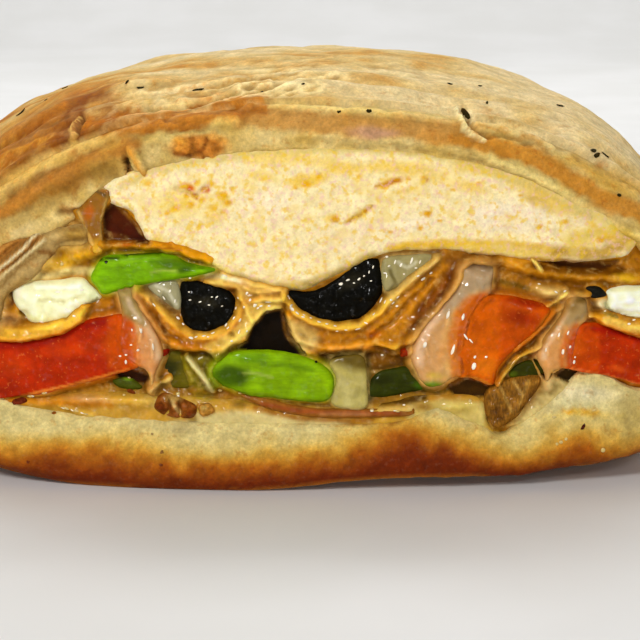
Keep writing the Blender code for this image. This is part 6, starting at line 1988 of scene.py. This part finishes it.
# White beads where the food glints: painted highlights in place of reflections of the lights.
GLEAM = (255, 246, 226)
GLINT_BEAD_THICKNESS = 0.08
GLINT_BEADS = (  # pixel across and down, half length, half width, turn
    (448, 315, 0.75, 0.34, 62), (425, 345, 0.7, 0.3, 75), (453, 350, 0.95, 0.34, 70),
    (463, 317, 0.6, 0.22, 80), (466, 337, 0.7, 0.16, -55), (471, 341, 0.5, 0.14, -50),
    (474, 366, 0.6, 0.34, 80), (475, 357, 0.3, 0.2, 60), (486, 357, 0.25, 0.2, 0),
    (559, 335, 0.5, 0.2, 65), (568, 333, 0.4, 0.2, 70), (546, 350, 0.45, 0.22, 75),
    (563, 352, 0.5, 0.3, 75), (570, 347, 0.3, 0.2, 60), (574, 362, 0.35, 0.25, 80),
    (575, 357, 0.2, 0.2, 0), (141, 330, 0.65, 0.26, 100), (138, 350, 0.3, 0.24, 90),
    (153, 347, 0.6, 0.24, 100), (132, 330, 0.25, 0.16, 90), (131, 345, 0.22, 0.16, 0),
    (126, 362, 0.45, 0.2, 85), (120, 356, 0.22, 0.16, 0), (126, 355, 0.22, 0.18, 0),
    (154, 305, 0.4, 0.16, -40), (178, 318, 0.35, 0.2, -40), (191, 338, 0.4, 0.22, -20),
    (204, 336, 0.4, 0.18, 0), (213, 333, 0.35, 0.18, 20), (226, 325, 0.4, 0.26, 40),
    (228, 328, 0.3, 0.16, 20), (240, 320, 0.35, 0.2, 60), (239, 332, 0.45, 0.14, 60),
    (238, 298, 0.4, 0.2, 50), (250, 300, 0.3, 0.2, 70), (255, 305, 0.6, 0.3, 50),
    (261, 306, 0.3, 0.16, 20), (268, 302, 0.55, 0.2, 10), (289, 298, 0.35, 0.2, -50),
    (292, 309, 0.5, 0.28, -30), (297, 313, 0.4, 0.2, -20), (303, 317, 0.3, 0.16, 0),
    (319, 322, 0.35, 0.26, 0), (335, 326, 0.3, 0.2, 10), (337, 331, 0.25, 0.16, 0),
    (358, 329, 0.5, 0.34, 20), (374, 314, 0.3, 0.18, 40), (381, 300, 0.55, 0.2, 45),
    (393, 303, 0.3, 0.2, 40), (423, 279, 0.45, 0.2, 35), (431, 273, 0.3, 0.18, 35),
    (382, 355, 0.25, 0.16, 0), (225, 276, 0.45, 0.28, -20), (539, 284, 0.25, 0.16, 0),
    (556, 292, 0.35, 0.16, -30), (565, 291, 0.4, 0.2, 60), (629, 324, 0.3, 0.2, 0),
    (634, 320, 0.3, 0.2, 20), (605, 311, 0.2, 0.16, 0), (395, 262, 0.4, 0.14, 70),
    (411, 262, 0.45, 0.14, 75), (420, 262, 0.4, 0.14, 70), (42, 322, 0.45, 0.3, -30),
    (74, 316, 0.3, 0.2, 0), (66, 309, 0.25, 0.2, 0), (98, 301, 0.4, 0.14, 50), (31, 396, 0.6, 0.3, 10),
    (45, 393, 0.45, 0.24, 15), (63, 408, 0.4, 0.14, -15), (72, 410, 0.35, 0.12, -15),
    (82, 413, 0.3, 0.12, -15), (178, 396, 0.3, 0.24, 60), (220, 390, 0.4, 0.26, 0),
    (372, 411, 0.3, 0.16, 0), (396, 411, 0.55, 0.22, -25), (404, 405, 0.25, 0.16, 0),
    (594, 410, 0.4, 0.14, 15), (554, 417, 0.2, 0.14, 0), (470, 401, 0.25, 0.22, 0),
    (189, 292, 0.2, 0.12, 0), (288, 296, 0.4, 0.16, 60), (291, 306, 0.5, 0.24, 60),
    (304, 315, 0.25, 0.18, 0), (311, 318, 0.25, 0.16, 20), (327, 324, 0.3, 0.18, 10),
    (346, 330, 0.25, 0.16, 0), (366, 323, 0.35, 0.18, -20), (385, 302, 0.4, 0.18, 50),
    (391, 300, 0.3, 0.2, 0), (398, 297, 0.35, 0.22, 0), (397, 306, 0.25, 0.18, 0),
    (341, 284, 0.35, 0.26, 0), (348, 280, 0.35, 0.16, 20), (359, 279, 0.35, 0.18, 40),
    (364, 276, 0.25, 0.14, 60), (369, 272, 0.3, 0.13, 80), (373, 267, 0.3, 0.14, 80),
    (354, 283, 0.2, 0.12, 0), (371, 281, 0.2, 0.12, 0), (387, 257, 0.25, 0.2, 0),
    (401, 265, 0.4, 0.18, 60), (385, 273, 0.3, 0.14, 0), (389, 266, 0.25, 0.14, 30),
    (412, 260, 0.5, 0.18, 75), (416, 268, 0.25, 0.14, 0), (404, 274, 0.2, 0.14, 0),
    (414, 329, 0.25, 0.18, 0), (418, 276, 0.3, 0.16, 30), (159, 291, 0.3, 0.16, -40),
    (164, 298, 0.4, 0.15, -50), (170, 291, 0.3, 0.18, 60), (175, 301, 0.35, 0.15, 80),
    (190, 300, 0.25, 0.14, 0), (200, 302, 0.3, 0.14, 20), (209, 305, 0.25, 0.13, 0),
    (217, 297, 0.3, 0.14, 30), (212, 297, 0.2, 0.12, 0), (222, 306, 0.2, 0.13, 0),
    (183, 324, 0.3, 0.18, -40), (196, 337, 0.35, 0.18, 0), (208, 337, 0.25, 0.15, 0),
    (234, 318, 0.35, 0.2, 50), (236, 308, 0.3, 0.16, 70), (247, 293, 0.35, 0.18, 60),
    (244, 307, 0.3, 0.18, 70), (258, 308, 0.3, 0.16, 40), (269, 306, 0.3, 0.16, 0),
    (247, 331, 0.25, 0.14, 60), (232, 341, 0.35, 0.16, 30), (190, 278, 0.25, 0.16, 0),
    (58, 292, 0.5, 0.2, 0), (82, 290, 0.4, 0.18, 10),
)


def make_details():
    tree = food_surface()
    scattered(
        "herb_flakes", "crust", "meat", tree, [(*herb, HERB) for herb in HERBS],
        uneven=0.5, curl=0.12, wet=0.0, sunk=0.4,
    )
    specks = (  # pixel, half length, half width, half thickness, turn, colour
        ((106, 262), 0.28, 0.24, 0.14, 0, (24, 28, 8)), ((316, 362), 0.26, 0.24, 0.14, 0, (22, 26, 8)),
        ((583, 427), 0.55, 0.3, 0.2, 65, (70, 24, 14)), ((165, 352), 1.1, 0.5, 0.4, 20, (140, 30, 10)),
        ((131, 391), 1.0, 0.45, 0.35, -10, (122, 56, 22)), ((404, 353), 1.0, 0.7, 0.4, -30, (150, 44, 12)),
        ((20, 401), 1.3, 0.5, 0.4, 10, (112, 40, 18)), ((54, 413), 0.4, 0.3, 0.2, 0, (150, 84, 24)),
        ((152, 434), 0.22, 0.2, 0.1, 0, (150, 124, 84)), ((162, 452), 0.3, 0.3, 0.12, 0, (150, 108, 64)),
        ((161, 465), 0.32, 0.28, 0.12, 0, (120, 60, 28)), ((28, 462), 0.3, 0.25, 0.12, 0, (110, 48, 18)),
    )
    scattered("small_crumbs", "sausage", "sausage", tree, specks, uneven=0.5, wet=0.4)
    drops = (  # pixel, half length, half width, half thickness, turn
        ((30, 396), 0.5, 0.28, 0.25, 10), ((44, 393), 0.4, 0.22, 0.2, 10), ((66, 408), 0.6, 0.2, 0.2, -12),
        ((76, 411), 0.5, 0.16, 0.18, -18), ((86, 414), 0.4, 0.16, 0.16, -20),
        ((178, 394), 0.35, 0.3, 0.25, 0), ((220, 390), 0.4, 0.3, 0.25, 0),
        ((240, 393), 0.3, 0.16, 0.16, 0), ((124, 395), 0.25, 0.2, 0.2, 0),
        ((372, 410), 0.35, 0.2, 0.2, 0), ((397, 411), 0.5, 0.22, 0.2, -20), ((470, 401), 0.3, 0.3, 0.2, 0),
        ((554, 417), 0.4, 0.2, 0.18, 0), ((594, 410), 0.4, 0.2, 0.18, 20), ((561, 442), 0.35, 0.3, 0.25, 0),
        ((566, 439), 0.3, 0.3, 0.25, 0), ((557, 444), 0.25, 0.25, 0.2, 0), ((603, 450), 0.4, 0.45, 0.3, 0),
        ((129, 378), 0.3, 0.25, 0.2, 0), ((62, 264), 0.3, 0.3, 0.2, 0),
    )
    shade = (222, 190, 130)
    scattered("oil_drops", "melt", "melt", tree, [(*drop, shade) for drop in drops], uneven=0.15, wet=1.0)
    # White beads where the food glints: painted highlights.
    glint_beads = [((x, y), length, width, GLINT_BEAD_THICKNESS, turn, GLEAM) for x, y, length, width, turn in GLINT_BEADS]
    scattered("painted_glint_beads", "melt", "gleam", tree, glint_beads, uneven=0.35, wet=1.0, detail=2, sunk=0.4)


# Floor, lights and camera.


def make_floor():
    """A pale floor that curves up far behind, so the light falls on it evenly."""
    front, bend, radius, half_width, top, columns = -1.2, 0.9, 0.5, 1.8, 1.6, 7
    turns = np.linspace(0.1, math.pi / 2, 16)
    profile = [(front, 0.0), (bend, 0.0)]
    profile += [(bend + radius * math.sin(a), radius - radius * math.cos(a)) for a in turns]
    profile.append((bend + radius, top))
    points = [(x, y, z) for y, z in profile for x in np.linspace(-half_width, half_width, columns)]
    faces = []
    for row in range(len(profile) - 1):
        for i in range(columns - 1):
            a = row * columns + i
            faces.append((a, a + 1, a + columns + 1, a + columns))
    mesh = bpy.data.meshes.new("pale_floor")
    mesh.from_pydata(points, [], faces)
    mesh.polygons.foreach_set("use_smooth", np.ones(len(faces), bool))
    n = Nodes("pale_floor")
    cloud = n.noise(60.0, 3.0, 0.5)
    grain = n.noise(2.5, 2.0, 0.5)
    colour = n.mix(n.ranged(cloud, 0.3, 0.7), (218, 217, 214), (224, 223, 221))
    n.finish(colour, n.ranged(cloud, 0.3, 0.7, 0.55, 0.65), n.bump(grain, 0.05, 0.3))
    mesh.materials.append(n.material)
    floor = bpy.data.objects.new("pale_floor", mesh)
    bpy.context.scene.collection.objects.link(floor)


def add_light(name, place, target, size, power):
    light = bpy.data.lights.new(name, "AREA")
    light.shape = "RECTANGLE"
    light.size, light.size_y = size
    light.energy = power
    obj = bpy.data.objects.new(name, light)
    obj.location = place
    obj.rotation_euler = (Vector(target) - Vector(place)).to_track_quat("-Z", "Y").to_euler()
    bpy.context.scene.collection.objects.link(obj)


def make_lights():
    for count, (place, target, width, height, power) in enumerate(SOFT_LIGHTS):
        add_light(f"softbox_{count}", place, target, (width, height), power)
    world = bpy.data.worlds.new("studio")
    world.use_nodes = True
    background = world.node_tree.nodes["Background"]
    background.inputs["Color"].default_value = (0.97, 0.985, 1.0, 1.0)
    background.inputs["Strength"].default_value = SKY
    bpy.context.scene.world = world


def make_camera():
    camera = bpy.data.cameras.new("camera")
    camera.sensor_width = 36.0
    camera.lens = camera.sensor_width * FOCAL_PIXELS / VIEW_SIZE
    camera.clip_start = 0.01
    obj = bpy.data.objects.new("camera", camera)
    obj.location = (EYE + SHIFT) * MM
    obj.rotation_euler = (math.pi / 2 - VIEW_TILT, 0.0, 0.0)
    bpy.context.scene.collection.objects.link(obj)
    bpy.context.scene.camera = obj


def main():
    make_crust()
    make_small_pieces()
    make_tomatoes_and_melts()
    make_fold()
    make_layers()
    make_details()
    make_floor()
    make_lights()
    make_camera()
    bpy.context.scene.view_settings.view_transform = "Standard"


main()
